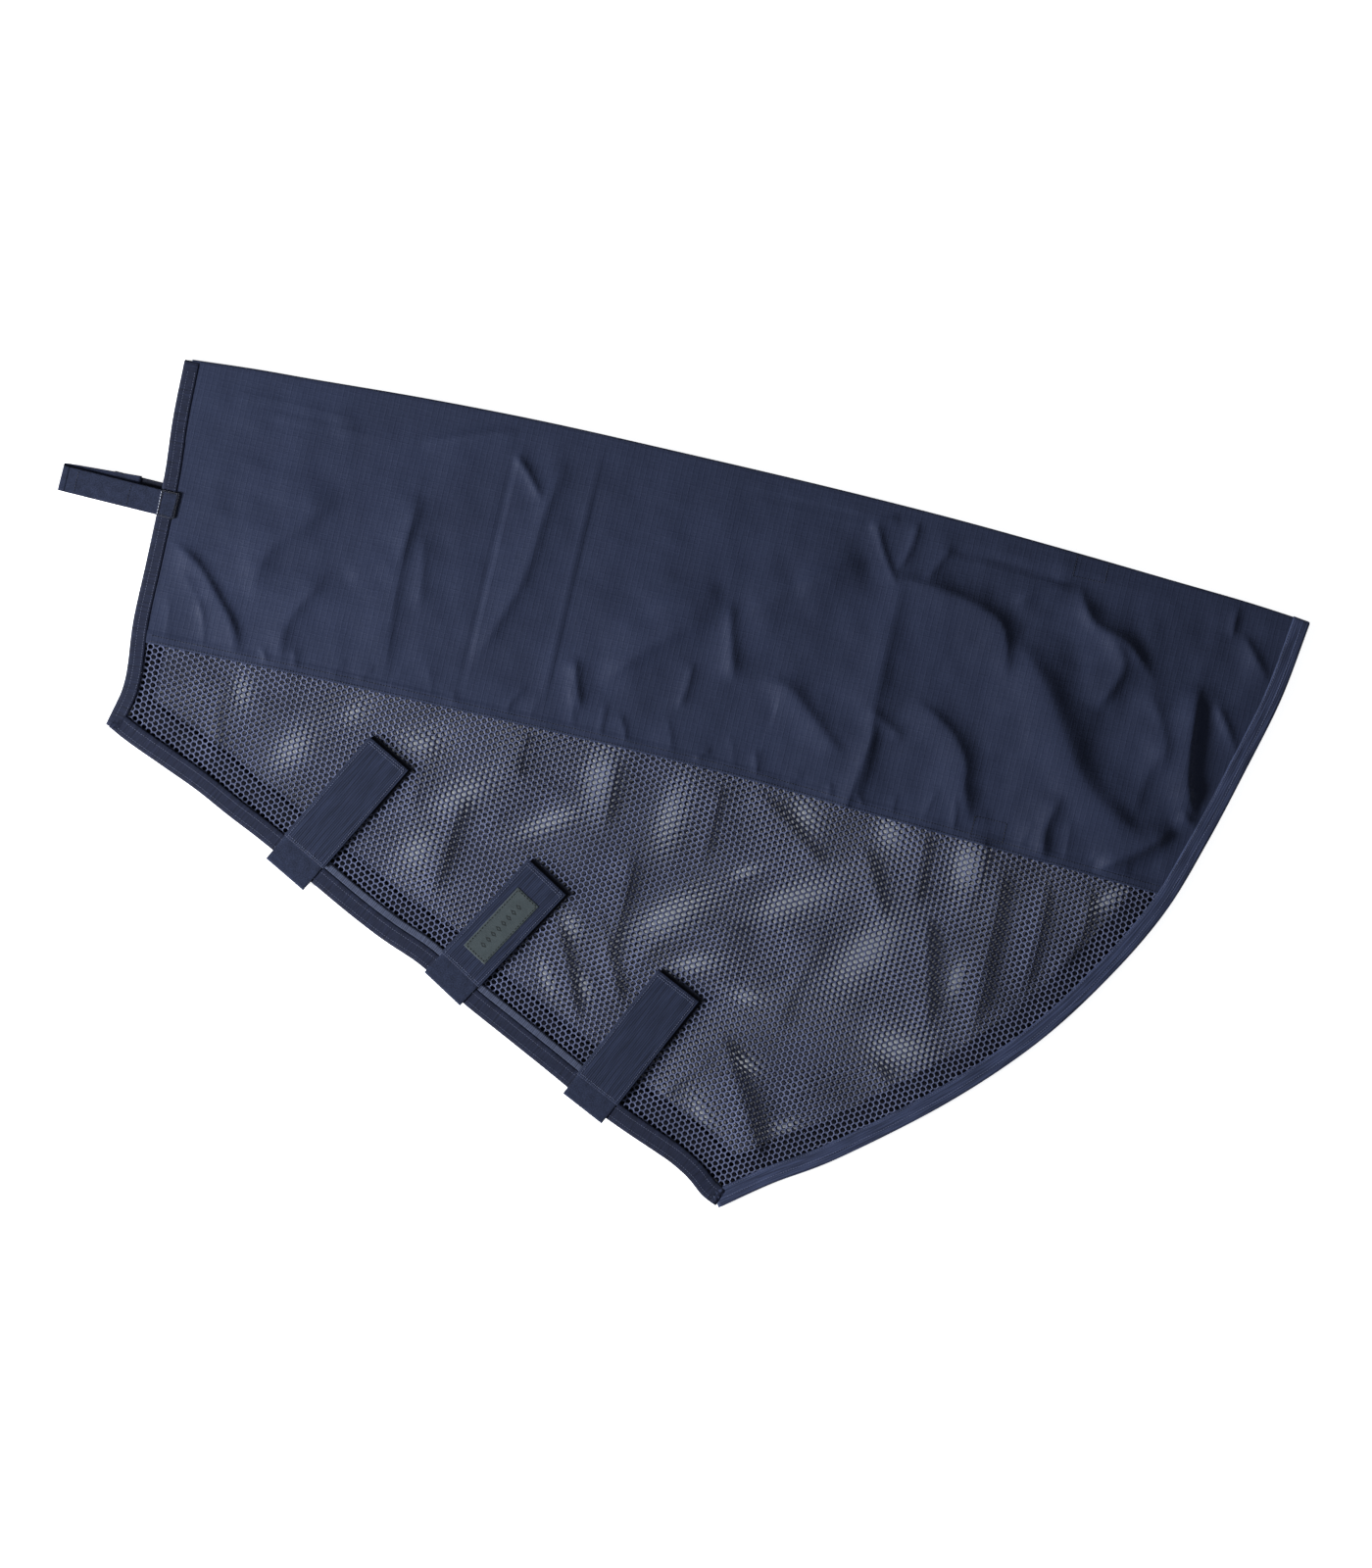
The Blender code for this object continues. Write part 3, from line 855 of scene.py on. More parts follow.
@dataclass(frozen=True)
class CrestCloth:
    """Light ripstop cloth: a fine plain weave with heavier threads every few millimetres."""

    name: str = "navy_ripstop"
    colour: Colour = (0.0185, 0.0250, 0.0530)
    weave: float = 0.0011
    check: float = 0.0058
    slub: float = 0.0032

    def make(self) -> bpy.types.Material:
        """The material: woven bump, slubs and slow changes of tone."""
        sketch = NodeSketch(self.name)
        place, along, across = sketch.cloth_place()
        weave = sketch.blend((sketch.waves(along, self.weave), 1), (sketch.waves(across, self.weave), 1))
        lines = sketch.math("POWER", sketch.waves(along, self.check), 8.0)
        bars = sketch.math("POWER", sketch.waves(across, self.check * 1.1), 8.0)
        slubs = [sketch.noise(place, self.slub, 3.0, stretch) for stretch in ((0.35, 3.5, 1), (3.5, 0.35, 1))]
        slub = sketch.math("ADD", *slubs)
        height = sketch.blend((weave, 0.22), (sketch.blend((lines, 1), (bars, 0.6)), 0.5), (slub, 0.9))
        tone = sketch.blend((sketch.noise(place, 0.09, 3.0), 0.45), (slub, 0.30))
        sketch.paint(sketch.ramp(tone, self.colour, (0.86, 1.14), (0.38, 0.68)))
        rough = sketch.noise(place, 0.004)
        return sketch.finish((rough, 0.16, 0.46), (0.12, 0.0), (height, 0.00022, 0.8))


@dataclass(frozen=True)
class NetYarn:
    """Knitted hexagonal net: soft yarn with fine loops."""

    name: str = "navy_net_yarn"
    colour: Colour = (0.067, 0.079, 0.139)

    def make(self) -> bpy.types.Material:
        """The material: fuzzy yarn with fine twisted loops."""
        sketch = NodeSketch(self.name)
        place, along, across = sketch.cloth_place()
        loops = sketch.math("MULTIPLY", sketch.waves(along, 0.0009), sketch.waves(across, 0.0007))
        fuzz = sketch.noise(place, 0.0006, 3.0)
        tone = sketch.blend((sketch.noise(place, 0.05, 3.0), 0.5), (fuzz, 0.5))
        sketch.paint(sketch.ramp(tone, self.colour, (0.72, 1.3), (0.35, 0.65)))
        height = sketch.math("ADD", loops, fuzz)
        return sketch.finish((fuzz, 0.2, 0.55), (0.12, 0.0), (height, 0.00012, 0.7))


@dataclass(frozen=True)
class RibbedTape:
    """Woven tape whose ribs run across it, or along it.

    Attributes:
        rib: spacing of the ribs in metres.
        contrast: how much lighter the ribs' tops are.
    """

    name: str
    colour: Colour
    rib: float
    along: bool = False
    roughness: float = 0.6
    contrast: float = 0.25

    def make(self) -> bpy.types.Material:
        """The material: rounded ribs, cross threads and a mottled tone."""
        sketch = NodeSketch(self.name)
        place, *ways = sketch.cloth_place()
        across, along = ways[::-1] if self.along else ways
        rib, cross = sketch.waves(across, self.rib), sketch.waves(along, self.rib * 0.6)
        streak = sketch.noise(place, 0.0065, 4.0, (6.0, 0.35, 1) if self.along else (0.35, 6.0, 1))
        grain = sketch.noise(place, 0.0009)
        light = self.contrast * 0.5
        tone = sketch.math("DIVIDE", sketch.blend((rib, light), (streak, 1), (grain, 0.4)), light + 1.4)
        sketch.paint(sketch.ramp(tone, self.colour, (0.62, 1.38), (0.4, 0.6)))
        height = sketch.blend((rib, 1), (cross, 0.3), (grain, 0.6))
        return sketch.finish((grain, 0.2, self.roughness - 0.1), (0.12, 0.0), (height, 0.00018, 0.8))


@dataclass(frozen=True)
class NappedTape:
    """Tape with a brushed pile of tufts of that size and depth in metres."""

    name: str
    colour: Colour
    tuft: float = 0.0013
    depth: float = 0.0005

    def make(self) -> bpy.types.Material:
        """The material: small tufts that are light on top and dark between."""
        sketch = NodeSketch(self.name)
        place = sketch.cloth_place()[0]
        tufts, hairs, patches = (
            sketch.noise(place, self.tuft * size, detail) for size, detail in ((1, 4.0), (0.35, 3.0), (7, 3.0))
        )
        tone = sketch.blend((tufts, 0.5), (hairs, 0.25), (patches, 0.25))
        sketch.paint(sketch.ramp(tone, self.colour, (0.5, 1.55), (0.38, 0.62)))
        return sketch.finish((hairs, 0.2, 0.75), (0.08, 0.06), (tone, self.depth, 0.7))


@dataclass(frozen=True)
class LabelCloth:
    """Sage woven label cloth with a plain row of small diamonds."""

    name: str = "sage_label"
    colour: Colour = (0.040, 0.052, 0.058)
    mark: Colour = (0.016, 0.021, 0.023)
    pitch: float = 0.0075
    row: float = 0.031

    def make(self) -> bpy.types.Material:
        """The material: satin weave, and diamonds where |x| + |y| is small in each cell."""
        sketch = NodeSketch(self.name)
        place, length, width = sketch.cloth_place()
        x = sketch.math("SUBTRACT", self.pitch / 2, sketch.math("PINGPONG", length, self.pitch / 2))
        reach = sketch.blend((x, 1), (sketch.math("ABSOLUTE", width), 0.55))
        diamond, inner = (sketch.math("LESS_THAN", reach, self.pitch * share) for share in (0.30, 0.12))
        within = sketch.math("LESS_THAN", sketch.math("ABSOLUTE", length), self.row)
        mask = sketch.math("MULTIPLY", sketch.math("SUBTRACT", diamond, inner), within)
        weave = sketch.math("MULTIPLY", sketch.waves(length, 0.0008), sketch.waves(width, 0.0006))
        grain = sketch.noise(place, 0.0012, 3.0)
        tone = sketch.blend((grain, 0.5), (sketch.noise(place, 0.012, 3.0), 0.5))
        ground = sketch.ramp(tone, self.colour, (0.85, 1.18), (0.35, 0.65))
        mix = sketch.node("Mix")
        mix.data_type = "RGBA"
        sketch.link(mask, mix.inputs["Factor"])
        sketch.link(ground, mix.inputs["A"])
        mix.inputs["B"].default_value = (*self.mark, 1.0)
        sketch.paint(mix.outputs["Result"])
        height = sketch.blend((weave, 1), (mask, -0.6))
        return sketch.finish((grain, 0.2, 0.42), (0.15, 0.0), (height, 0.00015, 0.7))


@dataclass(frozen=True)
class SewingThread:
    """Twisted polyester thread."""

    name: str
    colour: Colour

    def make(self) -> bpy.types.Material:
        """The material: a fine slanted twist on a soft shine."""
        sketch = NodeSketch(self.name)
        place, length, width = sketch.cloth_place()
        twist = sketch.waves(sketch.math("ADD", length, width), 0.0004)
        fuzz = sketch.noise(place, 0.0006)
        tone = sketch.blend((twist, 0.4), (fuzz, 0.6))
        sketch.paint(sketch.ramp(tone, self.colour, (0.75, 1.25), (0.2, 0.8)))
        return sketch.finish((fuzz, 0.2, 0.38), (0.3, 0.0), (twist, 0.00008, 0.6))


class Finish(Enum):
    """The finishes that the cover's pieces take."""

    CREST_CLOTH = CrestCloth()
    NET = NetYarn()
    # The far net is the near net's yarn painted about a quarter as light: painted shade for the far net lying under the
    # near half.
    FAR_NET = NetYarn("navy_net_yarn_far", (0.018, 0.0215, 0.040))
    BINDING = RibbedTape("navy_binding", (0.0112, 0.0150, 0.0335), 0.0011, roughness=0.62)
    # The shoulder binding is the same tape as the other bindings, painted about two and a half times lighter: painted
    # light for how its tilted edge catches the light.
    LIGHT_BINDING = RibbedTape("navy_shoulder_binding", (0.0290, 0.0380, 0.0780), 0.0024, along=True, roughness=0.62)
    SELVEDGE = RibbedTape("navy_selvedge", (0.045, 0.055, 0.093), 0.0021, roughness=0.7, contrast=0.6)
    # A near-black strip on the far half under the near net's edge: partly far-side edge cloth, mostly painted shade
    # that makes the net's holes there look black.
    FACING = RibbedTape("dark_facing", (0.0035, 0.0042, 0.0080), 0.0016, roughness=0.85)
    COVER = RibbedTape("navy_strap_cover", (0.0155, 0.0208, 0.0430), 0.0021, along=True, roughness=0.5, contrast=0.5)
    LOOP = NappedTape("navy_loop_tape", (0.0150, 0.0200, 0.0410))
    # The near half's landing patches: the same loop tape painted much darker, as painted shadow where their edge shows
    # beside the strap's end.
    SHADOW_LANDING = NappedTape("navy_landing", (0.0060, 0.0072, 0.0130))
    HOOK = NappedTape("navy_hook_tape", (0.0110, 0.0130, 0.0230), 0.0008, 0.0007)
    LABEL = LabelCloth()
    THREAD = SewingThread("navy_thread", (0.115, 0.136, 0.225))
    # Near-black thread for the seam, the crest tab's box and the headcollar loop's root and rows: painted shade where
    # the stitches sink into the cloth.
    DARK_THREAD = SewingThread("dark_thread", (0.008, 0.010, 0.018))
    PALE_THREAD = SewingThread("pale_thread", (0.34, 0.37, 0.46))
    LABEL_THREAD = SewingThread("olive_thread", (0.008, 0.012, 0.010))


class Wardrobe:
    """Makes each finish once and dresses pieces in it."""

    def __init__(self) -> None:
        """Starts with no finish made."""
        self.made: dict[Finish, bpy.types.Material] = {}

    def dress(self, piece: Piece, finish: Finish) -> Piece:
        """Gives a piece its finish and returns the piece."""
        if finish not in self.made:
            self.made[finish] = finish.value.make()
        piece.data.materials.clear()
        piece.data.materials.append(self.made[finish])
        return piece


# ---------------- the workroom


@dataclass
class Workroom:
    """What every sub-assembly shares.

    Attributes:
        plan: where the cover lies.
        outline: its edges.
        relief: the near half's ups and downs.
        wardrobe: its finishes.
    """

    plan: Plan
    outline: Outline
    relief: Relief
    wardrobe: Wardrobe

    def height(self, half: str, along: Array, down: Array, level: float) -> Array:
        """Height of something at that level.

        Args:
            half: near, for over the near half's relief; far, for over the far half's slight waves,
                which never reach the floor or the near half; or flat.
            along: places along.
            down: places down.
            level: height over flat cloth.

        Returns:
            The height at each place.
        """
        if half == "near":
            return level + self.relief.at(along, down)
        if half == "flat":
            return np.full(along.shape, float(level))
        return level + 0.11 * (np.sin(along / 47.0 + down / 61.0) + np.sin(along / 83.0 - down / 39.0))

    def millimetres(self, along: Array, down: Array, height: Array) -> Array:
        """Frame points in millimetres."""
        return self.plan.place(along, down, height) / MM

    def hang(
        self, piece: Piece, finish: Finish, slot: str, body: str = "", stands_for: Sequence[str] = ()
    ) -> Piece:
        """Dresses a piece and hangs it on the frame.

        Args:
            piece: what is hung.
            finish: its finish.
            slot: its material slot in the record; not used.
            body: the body it rides on, or none for a piece that rides on no body.
            stands_for: the frame's solids that it replaces.

        Returns:
            The piece.
        """
        self.wardrobe.dress(piece, finish)
        if stands_for:
            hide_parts(*stands_for)
        if body:
            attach(piece, body)
        return piece


# ---------------- crest panel


@dataclass
class CrestPanel:
    """The panel over the crest: one cloth from the near seam over the fold to the far seam.

    Attributes:
        columns: points along the cover.
        tuck: how far the cloth runs in under the bindings.
        cloth: thickness of the cloth.
        hem_width: width of the doubled hem at the seam.
    """

    room: Workroom
    columns: int = 560
    tuck: float = 8.0
    cloth: float = 0.5
    hem_width: float = 12.0

    def lay(self, share: Array, rows: Array) -> tuple[Array, Array]:
        """Plan places of rows from the crest (0) to the seam (1) and shares from poll to withers.

        The row's place down is mixed between the crest's and the seam's at its place along, and
        the place along is mixed between the poll edge and the shoulder edge at its place down.
        """
        outline = self.room.outline
        share, rows = np.meshgrid(share, rows)
        along = share * 1177.0
        for _ in range(3):
            top = outline.crest_down(along) + self.radius
            down = top + rows * (outline.seam_down(along) - top)
            left = outline.poll_along(down) + self.tuck
            right = outline.shoulder_along(down) - self.tuck
            along = left + share * (right - left)
        return along, down

    @property
    def radius(self) -> float:
        """Radius of the outer face round the crest."""
        return (NEAR_PANEL_LEVEL - FAR_PANEL_LEVEL) / 2 + self.cloth / 2

    def hem_step(self, along: Array, down: Array) -> Array:
        """Extra thickness of the doubled hem, which rises over two millimetres at its top."""
        depth = self.room.outline.seam_down(along) - down
        return 0.45 * (1 - smoothstep(depth, self.hem_width - 1.0, self.hem_width + 1.5))

    def build(self) -> Piece:
        """The panel's mesh: a finely divided outer face and a coarser inner one.

        Both faces share their columns. The inner rows lie under the lowest of the outer rows
        around them, and triangles close the two ends between the fine and coarse rows.
        """
        share = np.linspace(0, 1, self.columns)
        fine = np.concatenate([np.linspace(0, 0.935, 96), np.linspace(0.942, 1, 12)])
        rough = np.linspace(0, 1, 13)
        near_along, near_down = self.lay(share, fine)
        far_along, far_down = self.lay(share, rough)
        room, half = self.room, self.cloth / 2
        near_z = room.height("near", near_along, near_down, NEAR_PANEL_LEVEL + half)
        near_z = near_z + self.hem_step(near_along, near_down)
        far_z = room.height("far", far_along, far_down, FAR_PANEL_LEVEL - half)
        far_z = far_z - 0.4 * self.hem_step(far_along, far_down)
        turn = np.linspace(math.pi / 2, -math.pi / 2, 9)[1:-1, None]
        middle = (NEAR_PANEL_LEVEL + FAR_PANEL_LEVEL) / 2
        fold_along = np.repeat(near_along[:1], len(turn), axis=0)
        fold_down = near_down[:1] - self.radius * np.cos(turn)
        lift = near_z[:1] - NEAR_PANEL_LEVEL - half
        fold_z = middle + self.radius * np.sin(turn) + lift * smoothstep(np.sin(turn), 0, 1)
        near = np.stack([near_along, near_down, near_z])
        fold, far = np.stack([fold_along, fold_down, fold_z]), np.stack([far_along, far_down, far_z])
        outer = np.concatenate([near[:, ::-1], fold, far], axis=1)
        inner, match = self.inner_face(near, far, len(turn))
        run = np.concatenate([-near_down[::-1], fold_down * 0, far_down])
        run_in = np.where(np.arange(inner.shape[1])[:, None] < len(rough), -inner[1], inner[1])
        uv = [np.stack([face[0], way], axis=-1).reshape(-1, 2) * MM for face, way in ((outer, run), (inner, run_in))]
        return self.join(room.plan.place(*outer), room.plan.place(*inner), match, np.vstack(uv))

    def inner_face(self, near: Array, far: Array, turns: int, count: int = 24) -> tuple[Array, Array]:
        """The face inside the outer one.

        Args:
            near: along, down and height of the outer face's rows on the near half.
            far: the same on the far half.
            turns: how many outer rows go round the crest.
            count: how many inner rows the near half has.

        Returns:
            The inner rows, and for each outer row the inner row that it is joined to.
        """
        (near_along, near_down, near_z), (far_along, far_down, far_z) = near, far
        pick = np.round(np.linspace(0, len(near_z) - 1, count)).astype(int)
        lowest = near_z.copy()
        reach = len(near_z) // count + 1
        for shift in range(-reach, reach + 1):
            lowest = np.minimum(lowest, near_z[np.clip(np.arange(len(near_z)) + shift, 0, len(near_z) - 1)])
        near_in = lowest[pick] - self.cloth
        near_in = np.maximum(near_in, NEAR_PANEL_LEVEL - self.cloth / 2 - 0.15)
        near_in = np.minimum(near_in, near_z[pick] - self.cloth * 0.8)
        far_in = far_z + self.cloth
        along = np.concatenate([near_along[pick[::-1]], far_along])
        down = np.concatenate([near_down[pick[::-1]], far_down])
        height = np.concatenate([near_in[::-1], far_in])
        down[count - 1] += 0.5
        down[count] += 0.5
        near_match = count - np.searchsorted(pick, np.arange(len(near_z)), side="right")
        middle = np.where(np.arange(turns) < turns / 2, count - 1, count)
        match = np.concatenate([near_match[::-1], middle, count + np.arange(len(far_z))])
        return np.stack([along, down, height]), match

    def join(self, outer: Array, inner: Array, match: Array, uv: Array) -> Piece:
        """Closes the two faces into one shell along their rims and ends."""
        rows, cols = outer.shape[:2]
        deep = inner.shape[0]
        start = rows * cols
        ids_out = np.arange(rows * cols).reshape(rows, cols)
        ids_in = start + np.arange(deep * cols).reshape(deep, cols)
        outside = grid_faces(rows, cols)
        inside = grid_faces(deep, cols, start)[:, ::-1]
        rim_a, rim_b = (
            np.stack([out[:-1], out[1:], inn[1:], inn[:-1]], axis=1)
            for out, inn in ((ids_out[0], ids_in[0]), (ids_out[-1], ids_in[-1]))
        )
        tris = []
        for column, flip in ((0, False), (cols - 1, True)):
            out, here, after = ids_out[:, column], ids_in[match[:-1], column], ids_in[match[1:], column]
            fan = np.stack([out[:-1], here, out[1:]], axis=1)
            close = np.stack([out[1:], here, after], axis=1)[match[1:] != match[:-1]]
            ends = np.vstack([fan, close])
            tris.append(ends[:, ::-1] if flip else ends)
        points = np.concatenate([outer.reshape(-1, 3), inner.reshape(-1, 3)])
        faces = [outside, inside, rim_a, rim_b[:, ::-1], np.vstack(tris)]
        return build_piece("crest_panel", points, faces, uv)

    def make(self) -> list[Piece]:
        """Builds the panel and its stitching, and hangs them on the two halves."""
        panel = self.build()
        fix_normals(panel)
        nodes = [f"{kind}_{side}" for side in ("near", "far") for kind in ("crest_panel", "seam_hem")]
        self.room.hang(panel, Finish.CREST_CLOTH, "crest_cloth", stands_for=nodes)
        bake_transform(panel)
        near = self.seam_stitching("near")
        far = self.seam_stitching("far")
        return [panel, near, far]

    def seam_stitching(self, half: str) -> Piece:
        """Two rows of stitches along the seam and the boxes that hold the rug tabs."""
        room, outline = self.room, self.room.outline
        along = np.linspace(24, 1098, 400)
        rows = [np.stack([along, outline.seam_down(along) - inset], axis=1) for inset in (2.2, 8.2)]
        top = -3.5 if half == "near" else 8.0
        rows += [box_line(931, top, 33, 18.5 - top), box_line(890, 280, 33, 22)]
        runs = []
        for row in rows:
            place, depth = row[:, 0], row[:, 1]
            inside = (place > outline.poll_along(depth) + 18) & (place < outline.shoulder_along(depth) - 18)
            place, depth = place[inside], depth[inside]
            if half == "near":
                top = room.height(half, place, depth, NEAR_PANEL_LEVEL + self.cloth / 2 + 0.12)
                top = top + self.hem_step(place, depth)
            else:
                top = room.height(half, place, depth, FAR_PANEL_LEVEL - self.cloth / 2 - 0.05)
                top = np.maximum(top - 0.4 * self.hem_step(place, depth), 0.34)
            up = np.tile([0.0, 0.0, 1.0 if half == "near" else -1.0], (len(place), 1))
            runs.append(stitch_run(room.millimetres(place, depth, top), up, girth=0.38))
        piece = stitches(f"seam_stitching_{half}", runs)
        # The seam's stitches are near black: painted shade where they sink into the cloth.
        return room.hang(piece, Finish.DARK_THREAD, "crest_cloth", f"{half}_half")


def box_line(along: float, down: float, width: float, height: float) -> Array:
    """A closed rectangle as points a millimetre or two apart."""
    corners = np.array([(0, 0), (1, 0), (1, 1), (0, 1), (0, 0)]) * (width, height)
    return even_line(corners + (along, down), 1.5)


def fix_normals(piece: Piece) -> None:
    """Makes a closed piece's faces agree and point outward."""
    work = bmesh.new()
    work.from_mesh(piece.data)
    bmesh.ops.recalc_face_normals(work, faces=work.faces)
    work.to_mesh(piece.data)
    work.free()
    piece.data.update()


# ---------------- net


# Where the two nets' holes line up: ellipses as (along, down, reach, breadth, slant in degrees).
CLEAR_PATCHES = (
    (131, 328, 22, 13, 80), (193, 373, 36, 20, -60), (342, 445, 30, 20, -70), (372, 380, 40, 17, -42),
    (320, 338, 26, 14, -20), (506, 330, 44, 20, 90), (466, 385, 44, 12, -36), (810, 443, 58, 25, -60),
    (608, 450, 60, 22, -42), (729, 404, 56, 19, -35), (867, 530, 36, 23, -6), (586, 351, 46, 18, -85),
    (890, 331, 30, 16, 90), (642, 494, 30, 12, -22), (809, 318, 22, 15, 70), (721, 318, 22, 14, 38),
    (685, 638, 26, 10, 46), (514, 483, 20, 11, 50), (705, 513, 18, 9, -5), (501, 540, 24, 8, 58),
    (908, 446, 24, 8, 90), (774, 633, 17, 8, -29), (249, 322, 16, 9, -52), (672, 389, 20, 7, -30),
    (720, 580, 16, 9, 18), (541, 540, 18, 7, 60), (1040, 332, 20, 8, -50),
)


def clearness(points: Array) -> Array:
    """How nearly the two nets' holes line up at (along, down) points, from 0 to 1.

    Each clear patch fades as exp(-q), q being the squared distance over its two reaches, and the
    strongest patch counts.
    """
    clear = np.zeros(len(points))
    for along, down, reach, breadth, slant in CLEAR_PATCHES:
        x, y = points[:, 0] - along, points[:, 1] - down
        c, s = math.cos(math.radians(slant)), math.sin(math.radians(slant))
        q = ((x * c + y * s) / reach) ** 2 + ((y * c - x * s) / breadth) ** 2
        clear = np.maximum(clear, np.exp(-q))
    return clear


@dataclass
class HexNet:
    """One half's net, knitted in open hexagons.

    Attributes:
        half: near or far.
        pitch: distance between holes.
        hole: half width and half height of a hole.
        yarn: half thickness of the knit at its ridges.
        tuck: how far in from the edge its outermost holes lie, under the bindings.
        lap: how far its uppermost holes reach under the hem.
    """

    room: Workroom
    half: str
    pitch: float = 6.2
    hole: tuple[float, float] = (2.64, 2.24)
    yarn: float = 0.34
    tuck: float = 12.0
    lap: float = 6.0

    def centres(self) -> Array:
        """Centres of the holes: columns half a root three apart, each second one half a pitch on."""
        outline = self.room.outline
        step = self.pitch * math.sqrt(3) / 2
        column = np.arange(0, int(1190 / step))
        row = np.arange(int(280 / self.pitch), int(735 / self.pitch))
        column, row = (grid.ravel() for grid in np.meshgrid(column, row))
        points = np.stack([column * step, (row + (column % 2) / 2) * self.pitch], axis=1)
        keep = outline.inside(points) & (points[:, 1] > outline.seam_down(points[:, 0]) - self.lap)
        points = points[keep]
        return points[outline.edge_distance(points) > self.tuck]

    def drift(self, points: Array) -> Array:
        """How far the far half's net is shifted under the near half's.

        The shift goes from nothing at each clear patch, where the holes line up, to three fifths
        of a pitch between patches, where the yarn of one covers the holes of the other.
        """
        turn = 0.5 * np.sin(points[:, 0] / 70) + 0.4 * np.sin(points[:, 1] / 55)
        reach = self.pitch * (0.04 + 0.54 * (1 - clearness(points)))
        return np.stack([reach * np.cos(turn), reach * np.sin(turn)], axis=1)

    def sway(self, points: Array) -> Array:
        """The knit's own slight unevenness: slow sines of under a millimetre."""
        x = 0.7 * np.sin(points[:, 1] / 31 + 1.3) + 0.4 * np.sin(points[:, 0] / 47)
        y = 0.7 * np.sin(points[:, 0] / 37) + 0.4 * np.sin(points[:, 1] / 53 + 0.6)
        return np.stack([x, y], axis=1)

    def build(self) -> Piece:
        """The net's mesh.

        Every hexagon has a ridge above and below along its outline and a rim round its hole at
        mid height. Corners shared by neighbours are merged by their rounded places.
        """
        centres = self.centres()
        turn = np.arange(6) * math.pi / 3
        ring = np.stack([np.cos(turn), np.sin(turn)], axis=1)
        corner = centres[:, None] + ring * self.pitch / math.sqrt(3)
        rim = centres[:, None] + ring * self.hole
        keys = np.round(corner.reshape(-1, 2) * 4).astype(np.int64)
        _, first, inverse = np.unique(keys, axis=0, return_index=True, return_inverse=True)
        shared = corner.reshape(-1, 2)[first]
        count = len(shared)
        top = inverse.reshape(-1, 6)
        hole = 2 * count + np.arange(len(centres) * 6).reshape(-1, 6)
        after = np.roll(np.arange(6), -1)
        upper = np.stack([top, top[:, after], hole[:, after], hole], axis=-1).reshape(-1, 4)
        lower = np.stack([top + count, hole, hole[:, after], top[:, after] + count], axis=-1).reshape(-1, 4)
        edges = np.stack([top, top[:, after]], axis=-1).reshape(-1, 2)
        _, start, uses = np.unique(np.sort(edges, axis=1), axis=0, return_index=True, return_counts=True)
        a, b = edges[start[uses == 1]].T
        side = np.stack([b, a, a + count, b + count], axis=1)
        flat = np.vstack([shared, shared, rim.reshape(-1, 2)])
        layer = np.concatenate([np.full(count, 1.0), np.full(count, -1.0), np.zeros(len(rim) * 6)])
        moved = flat + self.sway(flat)
        if self.half == "far":
            moved = moved + self.drift(flat)
        level = FAR_NET_LEVEL if self.half == "far" else NEAR_NET_LEVEL
        height = self.room.height(self.half, moved[:, 0], moved[:, 1], level) + layer * self.yarn
        points = self.room.plan.place(moved[:, 0], moved[:, 1], height)
        return build_piece(f"net_{self.half}", points, [upper, lower, side], flat * MM)

    def make(self) -> Piece:
        """Builds the net, dresses it and hangs it on its half."""
        net = self.build()
        # The far half's net takes the painted-shade copy of the yarn.
        finish = Finish.NET if self.half == "near" else Finish.FAR_NET
        self.room.hang(net, finish, "hexagonal_net", f"{self.half}_half", [f"mesh_panel_{self.half}"])
        return net


# ---------------- edge bindings


class Edge(Enum):
    """The three bound edges."""

    POLL = "poll"
    THROAT = "throat"
    SHOULDER = "shoulder"


def flat_vectors(vectors: Array) -> Array:
    """Plan vectors with no height."""
    return np.column_stack([vectors, np.zeros(len(vectors))])


